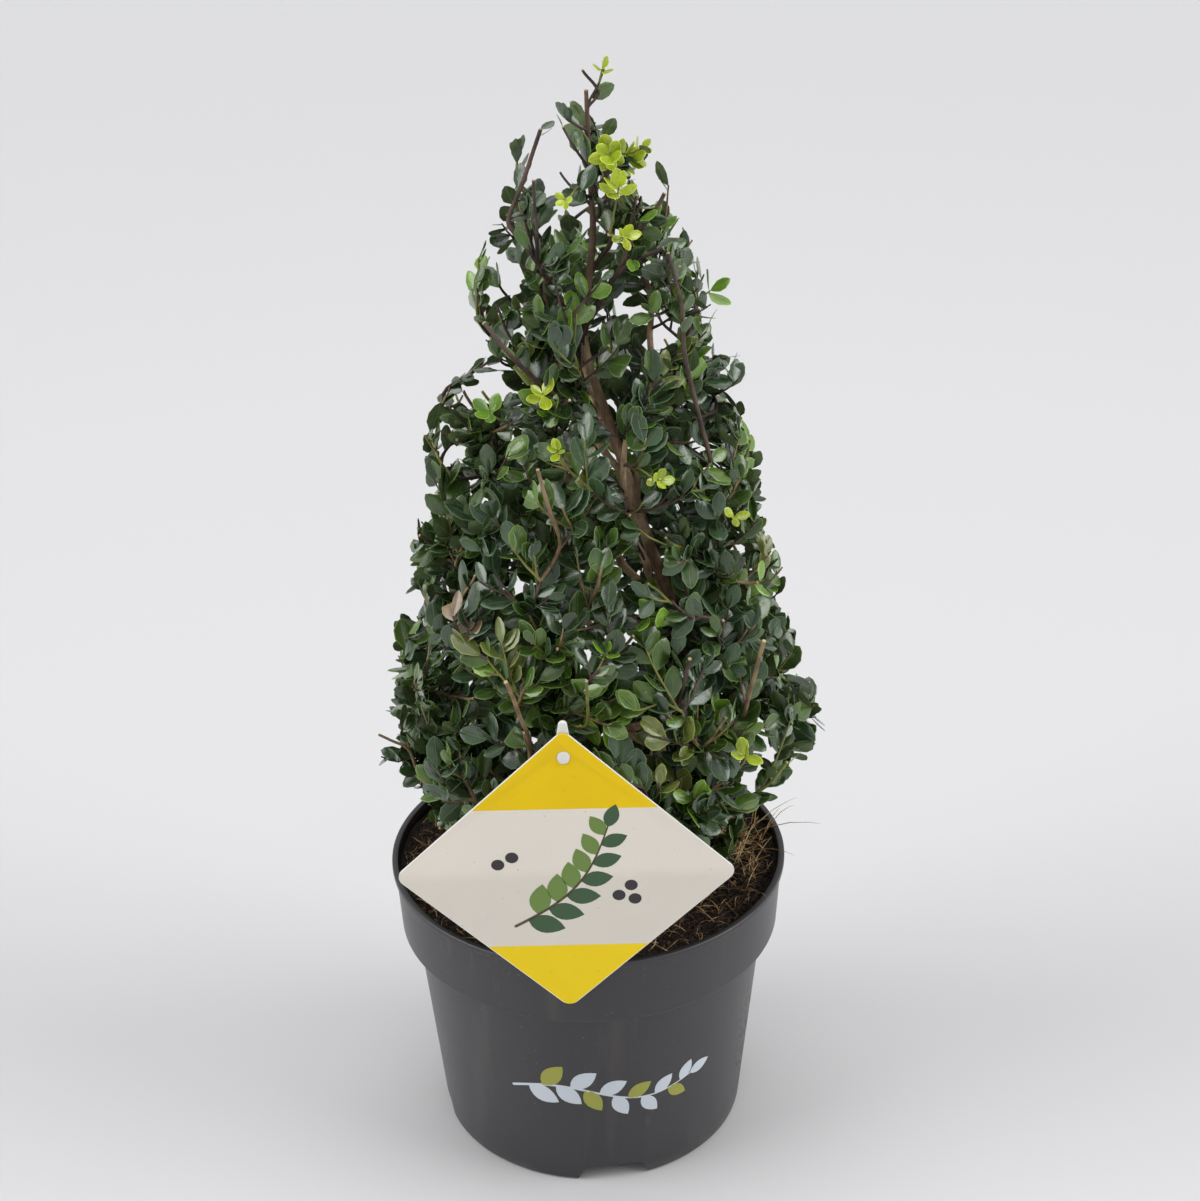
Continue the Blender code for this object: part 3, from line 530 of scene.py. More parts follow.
def potPlasticLook(coat):
    # Charcoal moulded plastic: fine grain, dusty scuffs, a paler line of painted highlight along the top of
    # the lip, dried dirt on one side, painted shade inside the collar
    where = coat.height()
    fine = coat.grain(900, 2)
    cloudy = coat.grain(14, 4)
    scuffs = coat.step(coat.grain(55, 6, (1, 1, 0.25), 0.7), 0.60, 0.72)
    specks = coat.step(coat.grain(420, 2), 0.70, 0.76)
    streaks = coat.step(coat.grain(38, 5, (1, 1, 0.12)), 0.56, 0.70)
    side = coat.step(where["X"], 0.078, 0.100) * coat.step(where["Z"], 0.125, 0.040)
    dirt = coat.step(coat.grain(330, 6, (1, 1, 0.8), 0.75), 0.50, 0.68) * side
    # Painted highlight: a paler line along the top of the lip
    lipHighlight = coat.step(where["Z"], pot["height"] - 0.0012, pot["height"])
    footDust = coat.step(where["Z"], 0.010, 0.0) * coat.step(cloudy, 0.35, 0.65)
    # Painted shade inside the collar, as far as the middle of its wall: the plastic there is painted darker
    halfWall = pot["wall"] / 2
    spread = pot["rimRadius"] - halfWall - pot["collarFootRadius"]
    collarRise = spread / (pot["height"] - pot["collarFoot"])
    wallMiddle = pot["collarFootRadius"] - halfWall + (where["Z"] - pot["collarFoot"]) * collarRise
    square = where["X"] * where["X"] + where["Y"] * where["Y"]
    radius = coat.add("ShaderNodeMath", {"operation": "SQRT"}, {0: square})[0]
    inside = coat.step(radius - wallMiddle, 0.0004, -0.0002) * coat.step(where["Z"], 0.140, 0.145)
    colour = coat.over(
        coat.mix(cloudy, rgb(34, 32, 35), rgb(48, 45, 48)), (streaks * 0.22, rgb(84, 80, 78)),
        (scuffs * 0.30, rgb(104, 101, 98)), (specks * 0.35, rgb(128, 122, 112)),
        (lipHighlight * 0.12, rgb(104, 104, 106)), (footDust * 0.35, rgb(110, 106, 100)),
        # the last layer is the painted shade inside the collar
        (dirt * 0.55, rgb(98, 92, 66)), (inside * 0.72, rgb(24, 22, 22)),
    )
    rough = 0.28 + cloudy * 0.14 + scuffs * 0.10 + dirt * 0.3
    height = fine * 0.5 + cloudy * 0.8 + dirt * 1.5
    return {"Base Color": colour, "Roughness": rough, "Normal": coat.bump(height, 0.00022)}


def potBodyMesh():
    # The outside of the pot with its lip, solid but for a shallow mouth; each corner has its own rounding
    rim, height, lip = pot["rimRadius"], pot["height"], pot["lipHeight"]
    inside = potWallLine(0)[-1][0]
    mouth, mouthFloor = inside - pot["mouthInset"], height - pot["mouthDepth"]
    corners = [
        (0, 0, 0), (pot["baseRadius"], 0, 0.0025), (pot["bodyRadius"], pot["collarFoot"], 0.0004),
        (pot["collarFootRadius"], pot["collarFoot"], 0.0014), (pot["collarRadius"], height - lip, 0.0005),
        (rim, height - lip, 0.0006), (rim, height, 0.0008), (inside - pot["mouthTopInset"], height, 0.0006),
        (mouth, mouthFloor, 0.0005), (0, mouthFloor, 0),
    ]
    return turnedMesh("pot", roundedLine(corners), pot["segments"])


def potCavityMesh():
    # What is cut out of the body, from its floor to over its rim
    wall = potWallLine(0)
    mouth, over = wall[-1][0] - pot["mouthInset"], pot["height"] + pot["wall"]
    line = [(0, over), (mouth, over), (mouth, pot["height"] - pot["ledgeDepth"])]
    line += [*reversed(wall[:-1]), (0, pot["floor"])]
    return turnedMesh("cavity", line, pot["segments"])


def makePot():
    numbers = range(pot["channels"])
    hollow = cutMesh(potCavityMesh(), [channelMesh(i, pot["wall"]) for i in numbers])
    channels = [channelMesh(i, 0) for i in numbers]
    drains = [drainMesh(i) for i in numbers]
    mesh = tidyMesh(cutMesh(potBodyMesh(), [hollow, *channels, *drains]))
    smoothUnder(mesh, 35)
    paint(mesh, makeMaterial("charcoal pot plastic", potPlasticLook, Specular_IOR_Level=0.6))
    dress(addObject("nurseryPot", mesh), "pot", "pot")


def potSurface(turn, height, lift):
    # A point on the pot's side under the collar, lifted off it
    share = height / pot["collarFoot"]
    radius = pot["baseRadius"] + (pot["bodyRadius"] - pot["baseRadius"]) * share + lift
    return Vector((radius * math.sin(turn), -radius * math.cos(turn), height))


# Sprigs printed on the pot and on the label

sprig = {
    "ink": 0.00006,
    "leafLength": 0.0222,
    "leafWidth": 0.0124,
    "stemWidth": 0.0018,
    "firstLeaf": 1.2,
    "shrinking": 0.35,
    "endLeaf": (0.7, 0.65),
    "potHeight": 0.0690,
    "potHalfLength": 0.057,
    "potWave": 0.006,
    "potSteps": 24,
    "potTurn": 0.06,
    "potLift": 0.00002,
    "potLean": 0.75,
    "potPairs": 6,
    "tintEvery": 3,
}


def leafOutline(length, width, steps=7):
    # A pointed oval from (0, 0) to (length, 0)
    upper = []
    for i in range(1, steps):
        t = i / steps
        upper.append((t * length, width / 2 * math.sin(math.pi * t**0.9) ** 0.85))
    return [(0, 0), *upper, (length, 0), *[(x, -y) for x, y in reversed(upper)]]


def inkMesh(name, outlines, onto):
    # Outlines with an even number of points, laid on a surface as a thin closed film; a line of points
    # along the middle of each keeps it on a curved surface, and onto(x, y, lift) gives the place
    points, faces = [], []
    for outline in outlines:
        count = len(outline)
        half = count // 2
        middle = [((outline[i][0] + outline[-i][0]) / 2, (outline[i][1] + outline[-i][1]) / 2)
                  for i in range(1, half)]
        inner = [0, *range(count, count + half - 1), half]
        first, size = len(points), count + half - 1
        for start, lift in ((first, sprig["ink"]), (first + size, 0.0)):
            points += [onto(x, y, lift) for x, y in (*outline, *middle)]
            for i in range(half):
                for a, b in ((i, i + 1), (-i % count, count - i - 1)):
                    corners = dict.fromkeys((a, b, inner[i + 1], inner[i]))
                    faces.append([start + corner for corner in corners])
        for i in range(count):
            k = (i + 1) % count
            faces.append((first + i, first + k, first + size + k, first + size + i))
    return tidyMesh(makeMesh(name, points, faces), 1e-7)


def placedOutline(outline, x, y, turn):
    cosine, sine = math.cos(turn), math.sin(turn)
    return [(x + px * cosine - py * sine, y + px * sine + py * cosine) for px, py in outline]


def stripOutline(route, width):
    # A line of points as a thin strip that narrows towards its end, pointed at both ends
    left, right = [], []
    for i, (x, y) in enumerate(route):
        ax, ay = route[max(i - 1, 0)]
        bx, by = route[min(i + 1, len(route) - 1)]
        side = Vector((ay - by, bx - ax)).normalized() * width / 2 * (1 - 0.6 * i / len(route))
        left.append((x + side.x, y + side.y))
        right.append((x - side.x, y - side.y))
    start, second, last, end = (Vector(route[i]) for i in (0, 1, -2, -1))
    foot = start + (start - second).normalized() * width / 2
    tip = end + (end - last).normalized() * width / 4
    return [tuple(foot), *left, tuple(tip), *reversed(right)]


def printLook(shade):
    def look(coat):
        worn = coat.step(coat.grain(700, 5, roughness=0.7), 0.62, 0.78)
        colour = coat.mix(worn * 0.5, shade, tuple(0.55 * c for c in shade[:3]) + (1.0,))
        return {"Base Color": colour, "Roughness": 0.42 + worn * 0.2}
    return look


def sprigOutlines(route, pairs, length, width, lean):
    # Leaves in turn on either side of a curved stem, shorter towards its tip, and one at the end
    leaves = []
    for i in range(pairs * 2):
        share = (i + sprig["firstLeaf"]) / (pairs * 2 + 1)
        k = min(int(share * (len(route) - 1)), len(route) - 2)
        ax, ay = route[k]
        bx, by = route[k + 1]
        local = share * (len(route) - 1) - k
        turn = math.atan2(by - ay, bx - ax) + (lean if i % 2 else -lean)
        size = 1.0 - sprig["shrinking"] * share
        outline = leafOutline(length * size, width * size)
        leaves.append(placedOutline(outline, ax + (bx - ax) * local, ay + (by - ay) * local, turn))
    ax, ay = route[-2]
    bx, by = route[-1]
    longer, wider = sprig["endLeaf"]
    outline = leafOutline(length * longer, width * wider)
    leaves.append(placedOutline(outline, bx, by, math.atan2(by - ay, bx - ax)))
    return leaves


def makePotPrint():
    half, level, steps = sprig["potHalfLength"], sprig["potHeight"], sprig["potSteps"]
    route = [(-half + 2 * half * i / steps, level + sprig["potWave"] * math.sin(i / steps * math.tau))
             for i in range(steps + 1)]

    def onPot(x, y, lift):
        return potSurface(x / pot["bodyRadius"] + sprig["potTurn"], y, lift + sprig["potLift"])

    leaves = sprigOutlines(route, sprig["potPairs"], sprig["leafLength"], sprig["leafWidth"],
                           sprig["potLean"])
    tinted = leaves[1::sprig["tintEvery"]]
    plain = [leaf for leaf in leaves if leaf not in tinted]
    stem = stripOutline(route, sprig["stemWidth"])
    white = makeMaterial("pot print white", printLook(rgb(196, 203, 210)))
    olive = makeMaterial("pot print olive", printLook(rgb(150, 152, 62)))
    for name, outlines, ink in (("potPrintWhite", [*plain, stem], white), ("potPrintOlive", tinted, olive)):
        mesh = inkMesh(name, outlines, onPot)
        paint(mesh, ink)
        dress(addObject(name, mesh), "pot")


makePot()
makePotPrint()
print("pot made")


# Potting mix

_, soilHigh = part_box("soil")
soil = {
    "top": soilHigh.z,
    "sink": 0.0016,
    "rise": 0.0026,
    "levelRadius": 0.052,
    "unevenness": 0.00279,
    # how close together its lumps are, their share of the height, and a slice of the noise
    "lumps": ((45, 1.0, 0.3), (160, 0.5, 4.1), (520, 0.35, 8.3)),
    "clearance": 0.0006,
    "looseInset": 0.001,
    "rings": 46,
    "segments": 150,
}


def soilHeight(x, y):
    # Level round the trunk, a little higher at the wall, uneven all over
    radius = math.hypot(x, y)
    share = max(0, (radius - soil["levelRadius"]) / (soilHigh.x - soil["levelRadius"]))
    bumps = sum(part * noise.noise(Vector((x * scale, y * scale, cut)))
                for scale, part, cut in soil["lumps"])
    return soil["top"] + soil["rise"] * share - soil["sink"] + soil["unevenness"] * bumps


def mixLook(coat):
    lumps = coat.grain(240, 6, roughness=0.75)
    patches = coat.grain(48, 4)
    strands = coat.step(coat.grain(300, 4, (1, 0.25, 1)), 0.56, 0.66)
    colour = coat.over(
        coat.mix(coat.step(lumps, 0.34, 0.70), rgb(16, 11, 9), rgb(48, 35, 26)),
        (coat.step(patches, 0.52, 0.70) * 0.4, rgb(80, 58, 40)), (strands * 0.35, rgb(120, 92, 62)),
    )
    return {"Base Color": colour, "Roughness": 0.82 + lumps * 0.16, "Normal": coat.bump(lumps, 0.0022)}


def crumbLook(dark, pale):
    def look(coat):
        tone = coat.grain(170, 3)
        colour = coat.mix(coat.step(tone, 0.35, 0.66), dark, pale)
        normal = coat.bump(coat.grain(1300, 3), 0.0004)
        return {"Base Color": colour, "Roughness": 0.92, "Normal": normal}
    return look


crumb = {
    "shapes": 5,
    "roughness": 0.5,
    "lumpScale": 3,
    "flatness": 0.7,
}


def crumbMeshes():
    # Rough lumps, one unit across
    shapes = []
    for i in range(crumb["shapes"]):
        bm = bmesh.new()
        bmesh.ops.create_icosphere(bm, subdivisions=1, radius=0.5)
        for vertex in bm.verts:
            offset = Vector((i * 7, 0, 0))
            vertex.co *= 1 + crumb["roughness"] * noise.noise(vertex.co * crumb["lumpScale"] + offset)
            vertex.co.z *= crumb["flatness"]
        shapes.append(meshOf(bm, f"crumb {i}"))
    return shapes


def ribbonMesh(name, route, radii, sides=3):
    # A thin closed strand with a few flat sides
    bm = bmesh.new()
    rings = []
    for i, (place, radius) in enumerate(zip(route, radii)):
        along = (route[min(i + 1, len(route) - 1)] - route[max(i - 1, 0)]).normalized()
        turn = up.rotation_difference(along).to_matrix() if along.z > -0.99 else Matrix.Identity(3)
        ring = [Vector((math.cos(a), math.sin(a), 0)) for a in turns(sides)]
        rings.append([bm.verts.new(place + turn @ spot * radius) for spot in ring])
    for low, high in zip(rings, rings[1:]):
        for k in range(sides):
            bm.faces.new((low[k], low[(k + 1) % sides], high[(k + 1) % sides], high[k]))
    bm.faces.new(rings[0][::-1])
    bm.faces.new(rings[-1])
    bmesh.ops.recalc_face_normals(bm, faces=bm.faces)
    return meshOf(bm, name)


fibre = {
    "shapes": 7,
    "firstSeed": 40,
    "bend": 0.5,
    "lift": (0.05, 0.32),
    "thick": (0.010, 0.030),
    "steps": 5,
    "bow": 0.6,
    "taper": 0.6,
}


def fibreMeshes():
    # Curled strands about one unit long, lying along X
    shapes = []
    steps = fibre["steps"]
    for i in range(fibre["shapes"]):
        dice = random.Random(fibre["firstSeed"] + i)
        bend = dice.uniform(-fibre["bend"], fibre["bend"])
        lift, thick = dice.uniform(*fibre["lift"]), dice.uniform(*fibre["thick"])
        route = []
        for k in range(steps + 1):
            t = k / steps
            arc = math.sin(math.pi * t)
            route.append(Vector((t - 0.5, bend * arc * fibre["bow"], lift * arc)))
        radii = [thick * (1 - fibre["taper"] * abs(2 * k / steps - 1)) for k in range(steps + 1)]
        shapes.append(ribbonMesh(f"fibre {i}", route, radii))
    return shapes


def dropOutside(mesh, radius):
    # Takes out each loose part that reaches past the radius
    bm = bmesh.new()
    bm.from_mesh(mesh)
    seen, doomed = set(), []
    for start in bm.verts:
        if start in seen:
            continue
        part = [start]
        seen.add(start)
        for vertex in part:
            fresh = [edge.other_vert(vertex) for edge in vertex.link_edges]
            fresh = [other for other in fresh if other not in seen]
            seen.update(fresh)
            part += fresh
        if any(math.hypot(vertex.co.x, vertex.co.y) > radius for vertex in part):
            doomed += part
    bmesh.ops.delete(bm, geom=doomed, context="VERTS")
    bm.to_mesh(mesh)
    bm.free()


def mixMesh(wall, edge):
    # A disc of rings over the uneven top, closed by a plain side and underside just inside the pot
    bm = bmesh.new()
    rings = [[bm.verts.new((0, 0, soilHeight(0, 0)))]]
    angles = turns(soil["segments"])
    for i in range(1, soil["rings"] + 1):
        radius = edge.x * i / soil["rings"]
        spots = [(radius * math.cos(a), radius * math.sin(a)) for a in angles]
        rings.append([bm.verts.new((x, y, soilHeight(x, y))) for x, y in spots])
    foot = pot["channelHeight"] + pot["wall"] + soil["clearance"]
    for radius, height in (wall[-2], wall[1], (wall[0].x, foot), (0, foot)):
        spots = [(radius * math.cos(a), radius * math.sin(a), height) for a in angles]
        rings.append([bm.verts.new(spot) for spot in spots[:len(spots) if radius else 1]])
    for inner, outer in zip(rings, rings[1:]):
        for k in range(soil["segments"]):
            n = (k + 1) % soil["segments"]
            corners = [inner[k % len(inner)], outer[k % len(outer)],
                       outer[n % len(outer)], inner[n % len(inner)]]
            bm.faces.new(list(dict.fromkeys(corners)))
    bmesh.ops.recalc_face_normals(bm, faces=bm.faces)
    mesh = meshOf(bm, "potting mix")
    mesh.shade_smooth()
    return mesh


# Loose bits on the mix, each kind with its smallest and largest and its two tones
loose = {
    "peatCrumbs": {
        "shape": "crumbs", "density": 130000, "sizes": (0.0010, 0.0036), "tipOver": math.pi,
        "seed": 3, "finish": "peat crumb", "tones": (rgb(18, 12, 10), rgb(48, 35, 27)),
    },
    "barkCrumbs": {
        "shape": "crumbs", "density": 16900, "sizes": (0.0012, 0.0042), "tipOver": math.pi,
        "seed": 5, "finish": "bark crumb", "tones": (rgb(70, 50, 34), rgb(116, 88, 62)),
    },
    "darkFibres": {
        "shape": "fibres", "density": 58000, "sizes": (0.006, 0.020), "tipOver": 0.55,
        "seed": 7, "finish": "dark fibre", "tones": (rgb(34, 24, 18), rgb(84, 62, 42)),
    },
    "tanFibres": {
        "shape": "fibres", "density": 33640, "sizes": (0.005, 0.021), "tipOver": 0.60,
        "seed": 9, "finish": "tan fibre", "tones": (rgb(136, 104, 66), rgb(208, 174, 126)),
    },
}


def strewLoose(surface, reach):
    shelves = {"crumbs": keepAside("crumbs", crumbMeshes()), "fibres": keepAside("fibres", fibreMeshes())}
    for name, bits in loose.items():
        smallest, largest = bits["sizes"]
        piece = addObject(name, surface.copy())
        runTree(piece, scatter, {
            "Shapes": shelves[bits["shape"]], "Per square metre": bits["density"],
            "Smallest": smallest, "Largest": largest, "Tip over": bits["tipOver"], "Seed": bits["seed"],
            "Finish": makeMaterial(bits["finish"], crumbLook(*bits["tones"])),
        })
        dropOutside(piece.data, reach)
        dress(piece, "soil")


def makeSoil():
    wall = [Vector(point) for point in potWallLine(soil["clearance"])]
    low, high = wall[-2], wall[-1]
    edge = low.lerp(high, (soil["top"] + soil["rise"] - low.y) / (high.y - low.y))
    mesh = mixMesh(wall, edge)
    upper = [tuple(face.vertices) for face in mesh.polygons if face.normal.z > facesUp]
    surface = makeMesh("mix surface", [vertex.co for vertex in mesh.vertices], upper)
    paint(mesh, makeMaterial("moist potting mix", mixLook))
    dress(addObject("pottingMix", mesh), "soil", "soil")
    strewLoose(surface, edge.x - soil["looseInset"])


straws = {
    "count": 150,
    "seed": 5,
    "middle": Vector((0.093, 0.010, 0)),
    "spread": 0.015,
    "spreadShares": (0.6, 1.0),  # towards the rim, along it
    "lengths": (0.016, 0.046),
    "rises": (0.15, 0.80),
    "sink": 0.001,
    "inset": 0.010,
    "overEvery": 17,
    "overInset": 0.012,
    "overAside": 0.9,
    "overShares": (0.34, 0.60),  # of the longest
    "overRises": (1.2, 1.9),
    "rimInset": 0.005,
    "rimClearance": 0.002,
    "droop": 0.55,
    "thick": 0.00034,
    "stations": (0, 0.3, 0.6, 0.85, 1),
    "taper": (1, 0.95, 0.8, 0.55, 0.2),
    "sides": 4,
}


def strawRoute(number, dice):
    # One blade's line, or None where it would start too near to the wall or cut through the rim
    across, along = (dice.gauss(0, share) for share in straws["spreadShares"])
    foot = straws["middle"] + Vector((across, along, 0)) * straws["spread"]
    if math.hypot(foot.x, foot.y) > pot["rimRadius"] - straws["inset"]:
        return None
    foot.z = soilHeight(foot.x, foot.y) - straws["sink"]
    heading = Vector((dice.uniform(-1, 1), dice.uniform(-1, 1), 0)).normalized()
    long = dice.uniform(*straws["lengths"])
    rise = dice.uniform(*straws["rises"])
    if number % straws["overEvery"] == 0:
        side = Vector((foot.x, foot.y, 0)).normalized()
        foot = side * (pot["rimRadius"] - straws["overInset"]) + up * foot.z
        heading = (side + heading * straws["overAside"]).normalized()
        long = straws["lengths"][1] * dice.uniform(*straws["overShares"])
        rise = dice.uniform(*straws["overRises"])
    route = [foot + heading * long * t + up * long * rise * (t - straws["droop"] * t * t)
             for t in straws["stations"]]
    outside = [p for p in route if math.hypot(p.x, p.y) > pot["rimRadius"] - straws["rimInset"]]
    if any(p.z < pot["height"] + straws["rimClearance"] or not inBox(p) for p in outside):
        return None
    return route


def makeStraws():
    # A tuft of dead grass by the rim at the right, most of it lying, a few blades over the rim
    dice = random.Random(straws["seed"])
    routes = [strawRoute(i, dice) for i in range(straws["count"])]
    radii = [straws["thick"] * share for share in straws["taper"]]
    piece = addObject("deadGrass", linesMesh("dead grass", [(route, radii) for route in routes if route]))
    finish = makeMaterial("dead grass", crumbLook(rgb(152, 118, 74), rgb(208, 180, 132)))
    runTree(piece, tubes, {"Sides": straws["sides"], "Finish": finish})
    dress(piece, "soil")


makeSoil()
makeStraws()
print("potting mix made")


# Label: the card and the stake that it hangs on

cardLow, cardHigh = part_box("label_card")
label = {
    "side": 0.1285,
    "cornerRadius": 0.006,
    "cornerSteps": 8,
    "thickness": 0.0008,
    "edgeEase": 0.00012,
    "trim": 0.9985,
    "lean": math.radians(3),
    "middle": (cardLow + cardHigh) / 2,
    "holeRadius": 0.0037,
    "holeDroop": 0.3,
    "holeSegments": 32,
    "holeFromCorner": 0.014,
    "borderWidth": 0.0004,
    "bandTop": 0.46,
    "bandFoot": -0.52,
    "bandBlur": 0.004,
    "surround": 0.006,
}


def cardMatrix(lift=0.0):
    # Card coordinates (x right, y up, z out of its face) to the place where it hangs
    tilt = Matrix.Rotation(math.pi / 2 + label["lean"], 4, "X")
    off = Matrix.Translation((0, 0, label["thickness"] / 2 + lift))
    return Matrix.Translation(label["middle"]) @ tilt @ off


def cardLook(coat):
    # Cream card with a white cut edge and a yellow field at its upper and lower corner
    flat = coat.add("ShaderNodeUVMap", {"uv_map": "card"})[0]
    across = coat.add("ShaderNodeSeparateXYZ", None, {0: flat})
    u, v = across["X"], across["Y"]
    fromEdge = 1.0 - (abs(u) + abs(v))
    border = label["borderWidth"] / (label["side"] / math.sqrt(2))
    white = coat.step(fromEdge, border * 1.5, border)
    upper = coat.step(v, label["bandTop"], label["bandTop"] + label["bandBlur"])
    lower = coat.step(v, label["bandFoot"], label["bandFoot"] - label["bandBlur"])
    smudge = coat.grain(30, 4)
    speck = coat.step(coat.grain(520, 2), 0.735, 0.76)
    colour = coat.over(
        coat.mix(smudge, rgb(219, 213, 201), rgb(228, 221, 210)),
        (upper, coat.mix(smudge, rgb(238, 202, 0), rgb(226, 189, 0))),
        (lower, coat.mix(smudge, rgb(250, 219, 10), rgb(242, 207, 0))),
        (white, rgb(236, 235, 230)), (speck * 0.5, rgb(120, 108, 92)),
    )
    return {"Base Color": colour, "Roughness": 0.30 + smudge * 0.14, "Normal": coat.bump(smudge, 0.0001)}


def cardOutline():
    # A square with rounded corners, turned to stand on one of them
    rounding, steps = label["cornerRadius"], label["cornerSteps"]
    inner = label["side"] / 2 - rounding
    outline = []
    for x, y, start in ((1, 1, 0), (-1, 1, 90), (-1, -1, 180), (1, -1, 270)):
        for i in range(steps + 1):
            angle = math.radians(start + 90 * i / steps)
            place = (x * inner + rounding * math.cos(angle), y * inner + rounding * math.sin(angle))
            outline.append(Vector(place))
    return [Matrix.Rotation(math.radians(45), 2) @ point for point in outline]


def cardHole(level):
    # Round, and drawn out a little at its foot
    radius = label["holeRadius"]
    hole = []
    for angle in turns(label["holeSegments"]):
        across, along = math.cos(angle), math.sin(angle)
        if along < 0:
            along *= 1 + label["holeDroop"] * (1 - abs(across))
        hole.append((radius * across, level + radius * along))
    return hole


def cardMesh(rings):
    # The sheet between the rings, its edges eased
    curve = bpy.data.curves.new("card outline", "CURVE")
    curve.dimensions = "2D"
    curve.fill_mode = "BOTH"
    curve.extrude = label["thickness"] / 2 - label["edgeEase"]
    curve.bevel_depth = label["edgeEase"]
    curve.bevel_resolution = 1
    for ring in rings:
        spline = curve.splines.new("POLY")
        spline.points.add(len(ring) - 1)
        spline.use_cyclic_u = True
        for point, place in zip(spline.points, ring):
            point.co = (place[0] * label["trim"], place[1] * label["trim"], 0, 1)
    sheet = addObject("card outline", curve)
    mesh = evaluatedMesh(sheet)
    bpy.data.objects.remove(sheet)
    return tidyMesh(mesh)


def makeCard():
    # Gives back the height that the hole's middle hangs at
    tip = label["side"] / 2 * math.sqrt(2) - label["cornerRadius"] * (math.sqrt(2) - 1)
    holeLevel = tip - label["holeFromCorner"]
    mesh = cardMesh((cardOutline(), cardHole(holeLevel)))
    layer = mesh.uv_layers.new(name="card")
    halfDiagonal = label["side"] / math.sqrt(2)
    for loop in mesh.loops:
        co = mesh.vertices[loop.vertex_index].co
        layer.data[loop.index].uv = (co.x / halfDiagonal, co.y / halfDiagonal)
    mesh.transform(cardMatrix(-label["thickness"] / 2))
    smoothUnder(mesh, 30)
    paint(mesh, makeMaterial("printed card", cardLook, Specular_IOR_Level=0.25))
    dress(addObject("labelCard", mesh), "label_card", "label_card")
    return (cardMatrix() @ Vector((0, holeLevel, 0))).z


cardSprig = {
    "foot": (-0.028, -0.034),
    "tip": (0.022, 0.030),
    "bow": 0.010,
    "steps": 20,
    "pairs": 6,
    "leafLength": 0.0215,
    "leafWidth": 0.0124,
    "leafLean": 0.85,
    "stemWidth": 0.0018,
    "lift": 0.00001,
    "berries": ((-0.036, 0.007), (-0.0285, 0.0115), (0.034, -0.008), (0.0275, -0.0145), (0.0360, -0.0170)),
    "berryRadius": 0.0035,
    "berrySegments": 16,
}


def berryOutline(x, y):
    radius = cardSprig["berryRadius"]
    return [(x + radius * math.cos(a), y + radius * math.sin(a)) for a in turns(cardSprig["berrySegments"])]


def makeCardPrint():
    # A leafy sprig with a few berries across the pale middle of the card
    face = cardMatrix()

    def onCard(x, y, lift):
        return face @ Vector((x, y, lift + cardSprig["lift"]))

    foot, tip, steps = Vector(cardSprig["foot"]), Vector(cardSprig["tip"]), cardSprig["steps"]
    aside = Vector((tip.y - foot.y, foot.x - tip.x)).normalized() * cardSprig["bow"]
    route = []
    for i in range(steps + 1):
        route.append(tuple(foot.lerp(tip, i / steps) + aside * math.sin(math.pi * i / steps)))
    leaves = sprigOutlines(route, cardSprig["pairs"], cardSprig["leafLength"], cardSprig["leafWidth"],
                           cardSprig["leafLean"])
    prints = (
        ("cardPrintDark", leaves[::2], rgb(52, 84, 50)),
        ("cardPrintLight", leaves[1::2], rgb(104, 132, 58)),
        ("cardPrintStem", [stripOutline(route, cardSprig["stemWidth"])], rgb(88, 70, 52)),
        ("cardPrintBerries", [berryOutline(x, y) for x, y in cardSprig["berries"]], rgb(44, 38, 42)),
    )
    for name, outlines, ink in prints:
        mesh = inkMesh(name, outlines, onCard)
        paint(mesh, makeMaterial(name, printLook(ink)))
        dress(addObject(name, mesh), "label_card")


stake = {
    "mergeUnder": 1e-5,
    "tipFrom": 0.012,
    "tipShare": 0.85,
    "pegReach": 0.0034,
    "pegGrowth": 1.24,
    "pegDroop": 1.25,
    "sharpFrom": 0.9,
    "edgeEase": 0.0003,
    "soiledTo": 0.02,
}


def stakeLook(coat):
    cloudy = coat.grain(60, 3)
    soiled = coat.step(coat.height()["Z"], soil["top"] + stake["soiledTo"], soil["top"])
    colour = coat.mix(cloudy, rgb(232, 232, 228), rgb(220, 221, 216))
    colour = coat.mix(soiled * 0.6, colour, rgb(140, 118, 92))
    return {"Base Color": colour, "Roughness": 0.38 + cloudy * 0.1}


def makeStake(holeHeight):
    # The solid's own shape with its edges eased, a narrower tip and a peg that fills the card's hole
    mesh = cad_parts["label_stake"].data.copy()
    tidyMesh(mesh, stake["mergeUnder"])
    middle = label["middle"].x
    for vertex in mesh.vertices:
        aside, above = vertex.co.x - middle, vertex.co.z - holeHeight
        if above > stake["tipFrom"]:
            vertex.co.x = middle + aside * stake["tipShare"]
        elif math.hypot(aside, above) < stake["pegReach"]:
            vertex.co.x = middle + aside * stake["pegGrowth"]
            vertex.co.z = holeHeight + above * stake["pegGrowth"] * (stake["pegDroop"] if above < 0 else 1)
    bm = bmesh.new()
    bm.from_mesh(mesh)
    bmesh.ops.dissolve_limit(bm, angle_limit=math.radians(1), verts=bm.verts, edges=bm.edges)
    sharp = [edge for edge in bm.edges
             if len(edge.link_faces) == 2 and edge.calc_face_angle() > stake["sharpFrom"]]
    bmesh.ops.bevel(bm, geom=sharp, offset=stake["edgeEase"], segments=2, affect="EDGES", profile=0.5)
    bmesh.ops.triangulate(bm, faces=bm.faces)
    bm.to_mesh(mesh)
    bm.free()
    smoothUnder(mesh, 30)
    paint(mesh, makeMaterial("white stake plastic", stakeLook))
    dress(addObject("labelStake", mesh), "label_stake", "label_stake")


holeHeight = makeCard()
makeCardPrint()
makeStake(holeHeight)
print("label made")


# The photograph's viewpoint

shot = {
    "lens": 66,
    "place": Vector((0, -1.0844, 0.8936)),
    "pitch": math.radians(27.2),
    "yaw": math.radians(-0.5),
    "roll": math.radians(-1.0),
}

